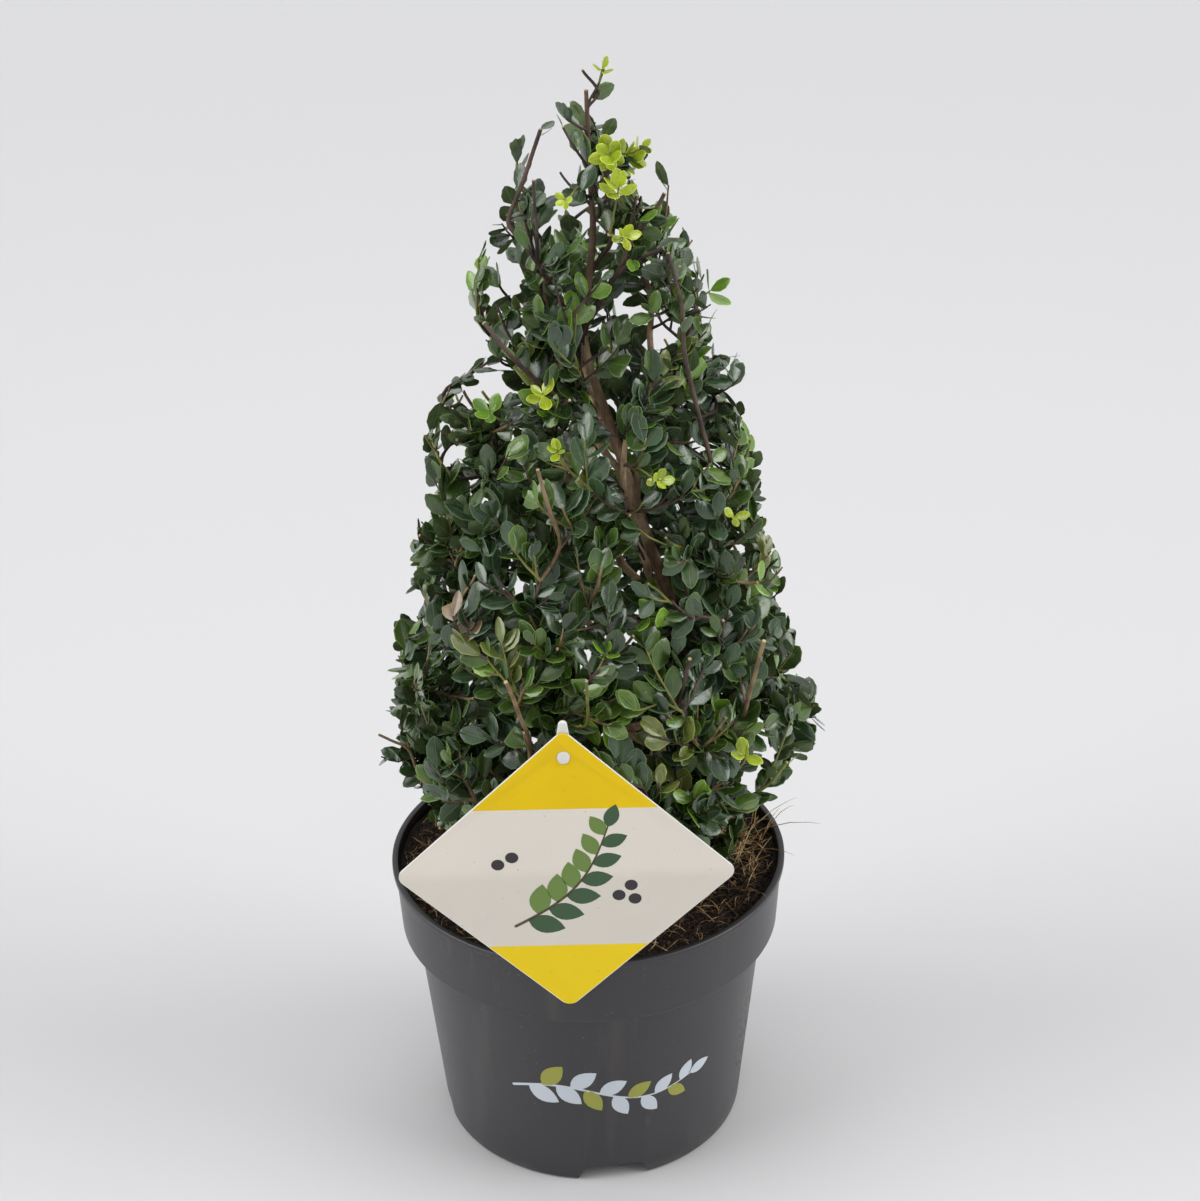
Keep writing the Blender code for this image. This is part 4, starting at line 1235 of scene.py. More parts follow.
aimed = Matrix.Rotation(shot["yaw"], 4, "Z") @ Matrix.Rotation(math.pi / 2 - shot["pitch"], 4, "X")
shotMatrix = Matrix.Translation(shot["place"]) @ aimed @ Matrix.Rotation(shot["roll"], 4, "Z")
toShot = shotMatrix.inverted()


def seenAt(point):
    # Where a point appears from there, as tangents, and how far away it is
    place = toShot @ point
    return Vector((place.x / -place.z, place.y / -place.z, 0)), -place.z


# Gaps that the sky shows through, in mm: sideways from the pot's middle, height, radius
skyGaps = (
    (-7, 584, 10), (44, 493, 8), (-57, 460, 6), (-94, 336, 6), (-34, 527, 6), (39, 568, 6), (13, 611, 6),
    (-47, 468, 5), (3, 558, 5), (-113, 258, 5), (-71, 426, 5), (-40, 516, 4), (116, 290, 4), (93, 219, 4),
)

seenGaps = [(seenAt(Vector((x, 0, height)) / 1000)[0], radius / 1000) for x, height, radius in skyGaps]


def inSkyGap(points):
    # Whether any of these points would cover one of the gaps
    for point in points:
        spot, depth = seenAt(point)
        if any((spot - middle).length < radius / depth for middle, radius in seenGaps):
            return True
    return False


class SeenLines:
    # Lines that leaves are kept from hiding, as the photograph shows them
    def __init__(self, routes):
        steps = 4
        points = [a.lerp(b, k / steps) for route in routes for a, b in zip(route, route[1:])
                  for k in range(steps)]
        self.tree = KDTree(len(points))
        self.depths = []
        for i, point in enumerate(points):
            spot, depth = seenAt(point)
            self.tree.insert(spot, i)
            self.depths.append(depth)
        self.tree.balance()

    def hiddenBy(self, point, half):
        spot, depth = seenAt(point)
        return any(depth < self.depths[i] for _, i, _ in self.tree.find_range(spot, half / depth))


# Wood: trunk, boughs and shoots, grown by the rule of the solids with finer twigs

plant = {
    "axis": Vector((0.006, 0, 0)),
    "foot": 0.178,
    "top": 0.637,
    # height, then the crown's radius to the left and to the right
    "outline": (
        (0.178, 0.084, 0.080), (0.213, 0.094, 0.080), (0.240, 0.101, 0.083), (0.253, 0.121, 0.121),
        (0.279, 0.114, 0.120), (0.318, 0.112, 0.107), (0.343, 0.100, 0.103), (0.380, 0.096, 0.094),
        (0.391, 0.084, 0.093), (0.415, 0.088, 0.090), (0.449, 0.083, 0.076), (0.462, 0.072, 0.080),
        (0.474, 0.050, 0.078), (0.485, 0.046, 0.062), (0.517, 0.060, 0.064), (0.530, 0.060, 0.058),
        (0.549, 0.044, 0.045), (0.580, 0.037, 0.036), (0.601, 0.030, 0.012), (0.611, 0.020, 0.012),
        (0.622, 0.006, 0.013), (0.637, 0.002, 0.013),
    ),
    "tufts": (
        (-8, 0.250, 0.008), (184, 0.246, 0.006), (95, 0.262, 0.010), (48, 0.430, 0.008),
        (140, 0.360, 0.008), (-60, 0.400, 0.005), (-130, 0.350, 0.006), (75, 0.330, -0.006),
        (-100, 0.480, 0.005), (110, 0.500, 0.006),
    ),
    "tuftSpread": 0.020,
    "trunkRoute": (
        (0.028, -0.006, 0.150), (0.029, -0.006, 0.168), (0.030, -0.006, 0.190), (0.044, -0.013, 0.260),
        (0.051, -0.019, 0.325), (0.035, -0.020, 0.385), (0.017, -0.017, 0.446), (0.004, -0.010, 0.492),
        (0.009, -0.002, 0.545), (0.008, -0.001, 0.580), (0.0070, 0.000, 0.6205),
    ),
    "trunkSteps": 9,
    "trunkRadius": 0.0062,
    "trunkTipRadius": 0.0010,
    "trunkTaper": 0.72,
    "flare": 0.0052,
    "flareHeight": 0.013,
    "boughRadius": 0.0031,
    "boughTipRadius": 0.0011,
    "boughSteps": 7,
    "boughInset": 0.026,
    "boughWander": 0.0022,
    "wanderScale": 60,
    # count, height, share of the crown's radius, lowest and highest fork, turn in degrees
    "tiers": (
        (6, 0.238, 0.62, 0.178, 0.222, 8), (5, 0.322, 0.58, 0.238, 0.278, -36),
        (4, 0.410, 0.54, 0.318, 0.352, 20), (3, 0.496, 0.52, 0.405, 0.430, -15),
    ),
    "tierStagger": 0.016,
    "tiersFrom": 0.23,
    "tiersSpan": 0.27,
    "upperThinner": 0.22,
    "sag": 0.12,
    "rise": 0.036,
}

# Stems that show between the leaves, in mm: colour, radius at foot and tip, and where they run
shownStems = (
    ("dark", 1.6, 1.0, ((3, -12, 504), (-10, -20, 521), (-19, -24, 540), (-28, -24, 554), (-33, -22, 561),
                        (-27, -16, 575), (-21, -10, 590), (-16, -6, 603))),
    ("dark", 1.2, 0.8, ((-19, -24, 540), (-19, -28, 558), (-20, -28, 571), (-20, -26, 583))),
    ("dark", 1.0, 0.6, ((13, -4, 560), (8, -8, 581), (1, -10, 594), (-5, -10, 605))),
    ("dark", 1.4, 1.0, ((9, -4, 530), (19, -6, 547), (17, -4, 563), (16, -2, 580), (15, 0, 597))),
    ("dark", 1.6, 1.1, ((3, -12, 498), (13, -20, 518), (20, -26, 533), (32, -30, 543), (44, -30, 548))),
    ("dark", 1.3, 1.0, ((24, -24, 540), (29, -18, 551), (35, -20, 557), (41, -18, 565), (45, -16, 572))),
    ("dark", 1.1, 0.7, ((24, -24, 538), (25, -20, 550), (28, -20, 557), (31, -18, 572))),
    ("dark", 1.3, 0.9, ((55, -45, 490), (53, -42, 509), (52, -40, 524), (46, -34, 547))),
    ("dark", 1.5, 1.0, ((-22, -45, 486), (-31, -55, 500), (-37, -58, 509), (-46, -50, 518))),
    ("dark", 0.8, 0.5, ((8, 0, 610), (9, 0, 616), (13, 0, 624), (16, 0, 631))),
    ("tan", 1.4, 1.1, ((86, -78, 316), (89, -82, 334), (93, -86, 355))),
    ("tan", 1.4, 1.1, ((-30, -98, 307), (-35, -106, 330), (-40, -111, 348))),
    ("tan", 1.2, 0.9, ((-11, -75, 407), (-16, -83, 431), (-21, -86, 454))),
    ("green", 1.1, 0.8, ((0, -98, 313), (1, -105, 330), (1, -110, 347))),
    ("dark", 1.4, 1.0, ((43, -82, 297), (49, -92, 325), (54, -98, 352))),
    ("tan", 1.1, 0.8, ((-100, -20, 255), (-109, -20, 261), (-116, -20, 265))),
)


def smoothRoute(points, steps):
    # A Catmull-Rom curve through the points
    ends = [Vector(p) for p in (points[0], *points, points[-1])]
    route = []
    for a, b, c, d in zip(ends, ends[1:], ends[2:], ends[3:]):
        for k in range(steps):
            t = k / steps
            route.append((2 * b + (c - a) * t + (2 * a - 5 * b + 4 * c - d) * t**2
                          + (3 * b - a - 3 * c + d) * t**3) / 2)
    return [*route, ends[-1]]


def crownRadius(height, turn=math.pi / 2):
    outline = plant["outline"]
    height = min(max(height, outline[0][0]), outline[-1][0])
    for (z0, left0, right0), (z1, left1, right1) in zip(outline, outline[1:]):
        if height <= z1:
            share = (height - z0) / (z1 - z0)
            left = left0 + (left1 - left0) * share
            right = right0 + (right1 - right0) * share
            return (left + right) / 2 + (right - left) / 2 * math.cos(turn)


def crownReach(turn, height):
    # The crown's radius this way, with the shoots that stand out of it
    reach = crownRadius(height, turn)
    for degrees, z, out in plant["tufts"]:
        aside = math.remainder(turn - math.radians(degrees), math.tau) * reach
        reach += out * math.exp(-(aside**2 + (height - z) ** 2) / plant["tuftSpread"] ** 2)
    return reach


def crownPoint(turn, height, inset=0.0):
    reach = crownReach(turn, height) - inset
    return plant["axis"] + Vector((reach * math.cos(turn), reach * math.sin(turn), height))


def crownDepth(point):
    # How far inside the crown's surface a point lies
    away = point - plant["axis"]
    return crownReach(math.atan2(away.y, away.x), point.z) - math.hypot(away.x, away.y)


def outward(point):
    away = point - plant["axis"]
    return Vector((away.x, away.y, 0)).normalized()


def trunkRadiusAt(height):
    share = min(max((height - soil["top"]) / (plant["trunkRoute"][-1][2] - soil["top"]), 0), 1)
    narrowing = (plant["trunkTipRadius"] - plant["trunkRadius"]) * share**plant["trunkTaper"]
    flare = plant["flare"] * math.exp(-max(height - soil["top"], 0) / plant["flareHeight"])
    return plant["trunkRadius"] + narrowing + flare


def wander(route, amount, seed):
    # Small sideways bends, none at the two ends
    last = len(route) - 1
    bent = []
    for i, place in enumerate(route):
        calm = math.sin(math.pi * i / last)
        push = noise.noise_vector(place * plant["wanderScale"] + Vector((seed, 0, 0)))
        bent.append(place + push * amount * calm)
    return bent


def taperRadii(start, end, count):
    return [start + (end - start) * i / (count - 1) for i in range(count)]


class Stem:
    # One piece of wood: its line, its radii and what kind it is
    def __init__(self, kind, route, radii):
        self.kind = kind
        self.route = route
        self.radii = radii
        self.bareEnd = 0.0
        self.length = sum((b - a).length for a, b in zip(route, route[1:]))

    def at(self, share):
        place = share * (len(self.route) - 1)
        i = min(int(place), len(self.route) - 2)
        point = self.route[i].lerp(self.route[i + 1], place - i)
        return point, (self.route[i + 1] - self.route[i]).normalized()


def growTrunk():
    route = smoothRoute(plant["trunkRoute"], plant["trunkSteps"])
    return Stem("trunk", route, [trunkRadiusAt(place.z) for place in route])


def trunkPlace(trunk, height):
    for a, b in zip(trunk.route, trunk.route[1:]):
        if a.z <= height <= b.z:
            return a.lerp(b, (height - a.z) / (b.z - a.z))
    return trunk.route[-1]


def growBoughs(trunk):
    # From a fork on the trunk out to the middle of its mass, then up to just under the crown's surface
    boughs = []
    for count, height, share, lowFork, highFork, degrees in plant["tiers"]:
        for i in range(count):
            turn = math.radians(degrees) + i * math.tau / count
            level = height + plant["tierStagger"] * math.cos(i * goldenAngle)
            middle = (plant["axis"] + up * level).lerp(crownPoint(turn, level), share)
            fork = trunkPlace(trunk, lowFork + (highFork - lowFork) * (i * 2 % count) / (count - 1))
            elbow = fork.lerp(middle, 0.5) - up * plant["sag"] * (middle - fork).length
            end = crownPoint(turn, middle.z + plant["rise"], plant["boughInset"])
            curve = smoothRoute((fork, elbow, middle, end), plant["boughSteps"])
            route = wander(curve, plant["boughWander"], len(boughs) * 3.7)
            thinner = plant["upperThinner"] * (level - plant["tiersFrom"]) / plant["tiersSpan"]
            radii = taperRadii(plant["boughRadius"] * (1.0 - thinner), plant["boughTipRadius"], len(route))
            boughs.append(Stem("bough", route, radii))
    return boughs


shoots = {
    "tips": 345,
    # height, then how thickly shoots and leaves stand there
    "thinning": ((0.0, 0.97), (0.430, 0.97), (0.480, 0.76), (0.530, 0.60), (0.560, 0.44), (0.640, 0.34)),
    "slices": 600,
    "narrowExtra": 0.016,
    "deepest": 0.022,
    "deepestShare": 0.45,
    "proudShare": 0.20,
    "proudRange": (0.2, 1.0),
    "proudest": 0.004,
    "turnJitter": 0.05,
    "tuftInset": 0.001,
    # where a shoot may start on its stem, and what a sharp bend, a drop or a wrong aim costs
    "startStep": 0.007,
    "startFirst": 0.12,
    "startLast": 0.97,
    "shortest": 0.006,
    "easyBend": math.radians(62),
    "bendCost": 1.6,
    "dropCost": 1.2,
    "aimCost": 1.8,
    # how far a shoot keeps to its stem's way, outwards and up, and how far its curve's handles reach
    "leaveAlong": 0.45,
    "leaveOut": 0.25,
    "leaveReach": 0.34,
    "arriveUp": 0.60,
    "arriveOut": 0.10,
    "arriveReach": 0.30,
    "steps": 7,
    "wander": 0.0016,
    "radius": 0.00105,
    "tipRadius": 0.00062,
    "thinShare": 0.75,
    "thickShare": 0.45,
    "thickLength": 0.06,
    "bareShare": 0.36,
    "bareEnd": 0.015,
    "bareTaper": 0.8,
    # a shoot forks off one of this many limbs near its tip, or off a shoot of theirs
    "nearStems": 3,
    "slack": 0.005,
    "cardGap": 0.0035,
    "overMix": 0.005,
    "overRim": 0.004,
    "rimInset": 0.006,
    "shownWander": 0.0007,
    "shownStart": 0.2,
    "sideEvery": 0.0120,
    "sideJitter": (0.75, 1.3),
    "sideLengths": (0.013, 0.036),
    "sidePart": 0.075,
    "sideFrom": 0.12,
    "sideTo": 0.93,
    "sideRadii": (0.00074, 0.00042),
    "sideLean": (24, 54),
    "sideOut": 0.15,
    "sideUp": 0.12,
    "sideRise": 0.28,
    "sideTries": 5,
    "sideShrink": 0.74,
    # side shoots inside the crown and on the stems that show, in parts of sideEvery and as lengths
    "innerShare": 0.40,
    "innerPart": 1.0,
    "innerBoughFrom": 4,
    "innerTrunk": slice(24, 72),
    "shownShare": 2.2,
    "shownPart": 0.05,
    # the stretch of trunk that shows, and how much clear space that and the shown stems get
    "windowFoot": 0.345,
    "windowTop": 0.500,
    "windowHalf": 0.0068,
    "shownHalf": 0.0060,
    "shownClearing": 0.85,
    # how many shoots are dark, tan and green, low down and high up
    "youngFrom": 0.47,
    "youngKinds": (12, 1, 1),
    "oldKinds": (4, 4, 3),
}


def bestStart(stems, tip, first=shoots["startFirst"], aim=None):
    # Where on these stems a shoot to the tip starts best: near by, and without a sharp bend or a drop
    best = None
    for stem in stems:
        steps = max(3, int(stem.length / shoots["startStep"]))
        for k in range(steps):
            share = first + (shoots["startLast"] - first) * k / (steps - 1)
            point, along = stem.at(share)
            run = tip - point
            if run.length < shoots["shortest"]:
                continue
            cost = run.length * (1 + shoots["bendCost"] * max(0, run.angle(along) - shoots["easyBend"]))
            cost *= 1 + shoots["dropCost"] * max(0, -run.normalized().z)
            if aim:
                cost *= 1 + shoots["aimCost"] * run.angle(aim)
            if best is None or cost < best[0]:
                best = cost, point, along, stem
    return best


def shootRoute(start, along, tip, steps):
    # Leaves its stem at an angle, then turns up towards the light
    run = tip - start
    way, out = run.normalized(), outward(tip)
    heading = (way + along * shoots["leaveAlong"] + out * shoots["leaveOut"]).normalized()
    arriving = (way + up * shoots["arriveUp"] + out * shoots["arriveOut"]).normalized()
    a = start + heading * run.length * shoots["leaveReach"]
    b = tip - arriving * run.length * shoots["arriveReach"]
    route = []
    for i in range(steps + 1):
        t = i / steps
        route.append(start * (1 - t) ** 3 + a * 3 * t * (1 - t) ** 2 + b * 3 * t * t * (1 - t) + tip * t**3)
    return route


def thicknessAt(height):
    rows = shoots["thinning"]
    for (z0, t0), (z1, t1) in zip(rows, rows[1:]):
        if height <= z1:
            return t0 + (t1 - t0) * (height - z0) / (z1 - z0)
    return rows[-1][1]


def shootTips():
    # Places spread evenly just under the crown's surface, and one for each tuft
    slices, span = shoots["slices"], plant["top"] - plant["foot"]
    heights = [plant["foot"] + span * (i + 0.5) / slices for i in range(slices)]
    weights = [(crownRadius(height) + shoots["narrowExtra"]) * thicknessAt(height) for height in heights]
    jitter = shoots["turnJitter"]
    tips, passed = [], 0.0
    for height, weight in zip(heights, weights):
        passed += weight
        while (len(tips) + 0.5) / shoots["tips"] * sum(weights) < passed:
            inset = min(shoots["deepest"] * rng.random(), crownRadius(height) * shoots["deepestShare"])
            if rng.random() < shoots["proudShare"]:
                inset = -rng.uniform(*shoots["proudRange"]) * shoots["proudest"]
            tips.append(crownPoint(len(tips) * goldenAngle + rng.uniform(-jitter, jitter), height, inset))
    for degrees, height, _ in plant["tufts"]:
        tips.append(crownPoint(math.radians(degrees), height, shoots["tuftInset"]))
    return tips


def behindCard(point, gap):
    # False for a point in or before the card, or closer behind it than the gap
    beside = abs(point.x - label["middle"].x) + abs(point.z - label["middle"].z)
    if beside > label["side"] / math.sqrt(2) + label["surround"]:
        return True
    face = label["middle"].y - (point.z - label["middle"].z) * math.tan(label["lean"])
    return point.y > face + gap


def underRim(point, inset, clearance):
    # Whether a point is lower than the clearance over the pot's rim, past its inside by less than the inset
    return math.hypot(point.x, point.y) > pot["rimRadius"] - inset and point.z < pot["height"] + clearance


def roomFor(points):
    # Inside the crown, above the mix and the pot's rim, and behind the card
    for point in points:
        if crownDepth(point) < -shoots["slack"] or point.z < soil["top"] + shoots["overMix"]:
            return False
        if not inBox(point) or not behindCard(point, shoots["cardGap"]):
            return False
        if underRim(point, shoots["rimInset"], shoots["overRim"]):
            return False
    return True


def growShoots(trunk, boughs):
    # A shoot for each tip, the tips nearest to the wood first, so that later ones can fork off earlier ones
    stems = [trunk, *boughs]
    woods = []
    wood = [(stem, stem.at(k / 12)[0]) for stem in stems for k in range(2, 13)]
    tips = sorted(shootTips(), key=lambda tip: min((tip - place).length for _, place in wood))
    families = {id(stem): [stem] for stem in stems}
    for tip in tips:
        near = sorted(stems, key=lambda stem: min((tip - p).length for s, p in wood if s is stem))
        near = near[:shoots["nearStems"]]
        found = bestStart([member for stem in near for member in families[id(stem)]], tip)
        if found is None:
            continue
        start, along, parent = found[1:]
        curve = shootRoute(start, along, tip, shoots["steps"])
        route = wander(curve, shoots["wander"], len(woods) * 1.3)
        if not roomFor(route[2:]):
            continue
        long = min(1, (tip - start).length / shoots["thickLength"])
        thick = shoots["radius"] * (shoots["thinShare"] + shoots["thickShare"] * long)
        bare = rng.random() < shoots["bareShare"]
        thin = shoots["bareTaper"] * thick if bare else shoots["tipRadius"]
        shoot = Stem("dark", route, taperRadii(thick, thin, len(route)))
        shoot.bareEnd = shoots["bareEnd"] if bare else 0.0
        woods.append(shoot)
        for stem in near:
            if parent in families[id(stem)]:
                families[id(stem)].append(shoot)
                break
    return woods


def growShownStems(trunk, boughs, woods):
    # Each starts where it forks best off the wood; the tan ones don't fork off the trunk or each other
    shown = []
    for kind, thick, thin, places in shownStems:
        places = [Vector(place) / 1000 for place in places]
        stems = [trunk, *boughs, *shown, *woods] if kind != "tan" else [*boughs, *woods]
        found = bestStart(stems, places[0], shoots["shownStart"], places[1] - places[0])
        if found:
            places = [found[1], *places]
        route = wander(smoothRoute(places, 4), shoots["shownWander"], len(shown) * 2.1)
        shown.append(Stem(kind, route, taperRadii(thick / 1000, thin / 1000, len(route))))
    return shown


def sideShootRoute(point, aim, length, clearOf):
    # Made shorter until it fits; None where it never does
    for _ in range(shoots["sideTries"]):
        tip = point + aim * length + up * length * shoots["sideRise"]
        route = shootRoute(point, aim, tip, 4)
        hides = clearOf and any(clearOf.hiddenBy(place, shoots["windowHalf"] / 2) for place in route[1:])
        if not hides and roomFor(route[1:]) and not inSkyGap(route[1:]):
            return route
        length *= shoots["sideShrink"]
    return None


def growSideShoots(parents, every, part, clearOf=None):
    # Short leafy shoots all round the outer part of each longer one, clipped where they leave the crown
    sides = []
    for number, parent in enumerate(parents):
        along = max(shoots["sideFrom"] * parent.length, parent.length - part)
        turn = number * goldenAngle
        while along < parent.length * shoots["sideTo"] - parent.bareEnd * 0.5:
            share = along / parent.length
            point, heading = parent.at(share)
            turn += goldenAngle
            along += every * rng.uniform(*shoots["sideJitter"])
            if rng.random() > thicknessAt(point.z):
                continue
            lean = math.radians(rng.uniform(*shoots["sideLean"]))
            aside = Matrix.Rotation(turn, 3, heading) @ heading.orthogonal().normalized()
            aim = heading * math.cos(lean) + aside * math.sin(lean)
            aim = (aim + outward(point) * shoots["sideOut"] + up * shoots["sideUp"]).normalized()
            length = rng.uniform(*shoots["sideLengths"]) * (1.0 - 0.25 * share)
            route = sideShootRoute(point, aim, length, clearOf)
            if route:
                sides.append(Stem(parent.kind, route, taperRadii(*shoots["sideRadii"], len(route))))
    return sides


def barkLook(coat):
    fine = coat.grain(700, 5, (1, 1, 0.28), 0.65)
    broad = coat.grain(90, 4, (1, 1, 0.35))
    flakes = coat.step(coat.grain(260, 4, (1, 1, 0.5)), 0.55, 0.66)
    rings = coat.step(coat.grain(330, 2, (0.35, 0.35, 1.6)), 0.60, 0.70)
    height = coat.height()["Z"]
    young = coat.step(height, 0.46, 0.56)
    colour = coat.over(
        coat.mix(coat.step(broad, 0.35, 0.65), rgb(150, 122, 98), rgb(228, 196, 158)),
        (coat.step(fine, 0.52, 0.70) * 0.50, rgb(82, 58, 48)), (flakes * 0.35, rgb(156, 134, 106)),
        (young * 0.85, coat.mix(fine, rgb(58, 40, 38), rgb(84, 62, 54))),
        (rings * 0.30, rgb(150, 128, 102)),
    )
    normal = coat.bump(fine + broad * 0.9, 0.0012)
    return {"Base Color": colour, "Roughness": 0.72 + fine * 0.2, "Normal": normal}


def twigLook(dark, pale, mark):
    def look(coat):
        tone = coat.grain(75, 4)
        fine = coat.grain(900, 3, (1, 1, 0.4))
        spots = coat.step(coat.grain(800, 2), 0.64, 0.72)
        colour = coat.mix(coat.step(tone, 0.36, 0.64), dark, pale)
        colour = coat.mix(spots * 0.5, colour, mark)
        return {"Base Color": colour, "Roughness": 0.62 + fine * 0.2, "Normal": coat.bump(fine, 0.0004)}
    return look


relief = {
    "swell": 0.0009,
    "swellScale": 55,
    "furrow": 0.00045,
    "furrowAcross": 260,
    "furrowAlong": 70,
    "youngAt": 0.60,
    "ageSpan": 0.4,
    "youngShare": 0.25,
    "ridges": 4,
    "ridge": 0.16,
    "ridgeReach": 0.02,
}


def reliefOn(mesh, trunk):
    # Root ridges at the foot, low swellings and furrows over the older wood
    foot, flareHeight = trunk.route[1], plant["flareHeight"]
    across, along = relief["furrowAcross"], relief["furrowAlong"]
    moved = []
    for vertex in mesh.vertices:
        point = vertex.co.copy()
        age = min(max((relief["youngAt"] - point.z) / relief["ageSpan"], 0), 1)
        furrows = noise.noise(Vector((point.x * across, point.y * across, point.z * along)))
        swell = noise.noise(point * relief["swellScale"]) * relief["swell"] + furrows * relief["furrow"]
        swell *= relief["youngShare"] + (1 - relief["youngShare"]) * age
        above = point.z - foot.z
        away = Vector((point.x - foot.x, point.y - foot.y, 0))
        ridge = 0.0
        if above < flareHeight * 2 and away.length < relief["ridgeReach"]:
            wave = math.cos(relief["ridges"] * math.atan2(away.y, away.x))
            ridge = relief["ridge"] * away.length * wave * (1 - above / flareHeight / 2)
        moved.append(point + vertex.normal * (swell + ridge))
    for vertex, place in zip(mesh.vertices, moved):
        vertex.co = place


def solidNodes(start):
    return [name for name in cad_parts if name.startswith(start)]


def makeLimbs(trunk, boughs):
    limbs = [(stem.route, stem.radii) for stem in (trunk, *boughs)]
    heavy = addObject("barkLimbs", linesMesh("bark limbs", limbs))
    runTree(heavy, tubes, {"Sides": 16, "Finish": makeMaterial("holly bark", barkLook)})
    reliefOn(heavy.data, trunk)
    dress(heavy, "bark", "trunk", *solidNodes("bough"))


# Twigs: two tones and the colour of their spots
twigTones = {
    "dark": (rgb(52, 38, 36), rgb(86, 66, 56), rgb(140, 118, 94)),
    "tan": (rgb(104, 84, 60), rgb(152, 128, 94), rgb(78, 60, 46)),
    "green": (rgb(96, 100, 46), rgb(132, 130, 66), rgb(96, 74, 46)),
}


def makeTwigs(stems):
    for kind, tones in twigTones.items():
        lines = [(stem.route, stem.radii) for stem in stems if stem.kind == kind]
        piece = addObject(f"{kind}Twigs", linesMesh(f"{kind} twigs", lines))
        finish = makeMaterial(f"{kind} twig bark", twigLook(*tones))
        runTree(piece, tubes, {"Sides": 6, "Finish": finish})
        dress(piece, "bark")


cutEnd = {
    "inside": 0.0003,
    "outside": 0.00025,
    "innerRadius": 1.06,
    "outerRadius": 0.98,
    "tones": (rgb(176, 150, 108), rgb(206, 184, 140), rgb(150, 120, 84)),
}


def makeCutEnds(stems):
    # The shears left pale wood on the ends of the bare stems
    lines = []
    for stem in stems:
        end, along = stem.route[-1], (stem.route[-1] - stem.route[-2]).normalized()
        route = [end - along * cutEnd["inside"], end + along * cutEnd["outside"]]
        radius = stem.radii[-1]
        lines.append((route, [radius * cutEnd["innerRadius"], radius * cutEnd["outerRadius"]]))
    piece = addObject("cutEnds", linesMesh("cut ends", lines))
    finish = makeMaterial("fresh cut wood", twigLook(*cutEnd["tones"]))
    runTree(piece, tubes, {"Sides": 8, "Finish": finish})
    dress(piece, "bark")


trunk = growTrunk()
boughs = growBoughs(trunk)
woods = growShoots(trunk, boughs)
shown = growShownStems(trunk, boughs, woods)
for stem in woods:
    young = stem.route[-1].z > shoots["youngFrom"]
    stem.kind = rng.choices(list(twigTones), shoots["youngKinds"] if young else shoots["oldKinds"])[0]
trunkLine = SeenLines([[p for p in trunk.route if shoots["windowFoot"] < p.z < shoots["windowTop"]]])
shownLines = SeenLines([stem.route for stem in shown])
boughPart, trunkPart = slice(shoots["innerBoughFrom"], None), shoots["innerTrunk"]
innerWood = [Stem("dark", stem.route[boughPart], stem.radii[boughPart]) for stem in boughs]
innerWood.append(Stem("dark", trunk.route[trunkPart], trunk.radii[trunkPart]))
sideEvery = shoots["sideEvery"]
sides = growSideShoots(woods, sideEvery, shoots["sidePart"])
sides += growSideShoots(innerWood, sideEvery * shoots["innerShare"], shoots["innerPart"], trunkLine)
sides += growSideShoots(shown, sideEvery * shoots["shownShare"], shoots["shownPart"])
makeLimbs(trunk, boughs)
makeTwigs([*woods, *shown, *sides])
makeCutEnds([trunk, *[stem for stem in woods if stem.bareEnd], *shown])
print(f"wood grown: {len(woods)} shoots, {len(sides)} side shoots")


# Leaves

leaf = {
    "length": 0.0180,
    "lengthAtTop": 0.0160,
    "shorterFrom": 1.5,
    "lengths": (0.60, 1.18, 0.98),
    "sprayScale": (0.84, 1.14),
    "spacing": 0.0049,
    "spacingJitter": (0.8, 1.25),
    "leafyPart": 0.062,
    "leafyShare": 0.97,
    "bareTip": 0.0005,
    "lean": (26, 66),
    "turnedUp": 0.85,
    "scatter": 0.8,
    # leaves this near to a shoot's end stand closer and steeper, and the newest are smaller
    "endPart": 0.004,
    "endSpacing": 0.55,
    "endLean": 0.7,
    "newPart": 0.010,
    "newLength": 0.72,
    "tries": 4,
    "tryTurn": 1.3,
    "tryShrink": 0.93,
    "slack": 0.005,
    "middle": 0.55,
    "halfWidth": 0.33,
    "clearFrom": 0.0016,
    "cardGap": 0.0022,
    "rimInset": 0.004,
    "overRim": 0.003,
    "kinds": 6,
    "clippedShare": 0.05,
    "tints": {
        "deep": (0.30, (30, 49, 23), (48, 71, 33)),
        "blue": (0.22, (38, 59, 36), (62, 88, 54)),
        "mid": (0.25, (43, 68, 22), (70, 98, 36)),
        "moss": (0.125, (60, 88, 28), (88, 118, 42)),
        "fresh": (0.058, (80, 120, 22), (114, 152, 42)),
        "olive": (0.040, (82, 94, 36), (112, 122, 52)),
        "dried": (0.003, (100, 82, 56), (136, 112, 80)),
        "lime": (0.0, (136, 158, 20), (178, 194, 44)),
    },
}

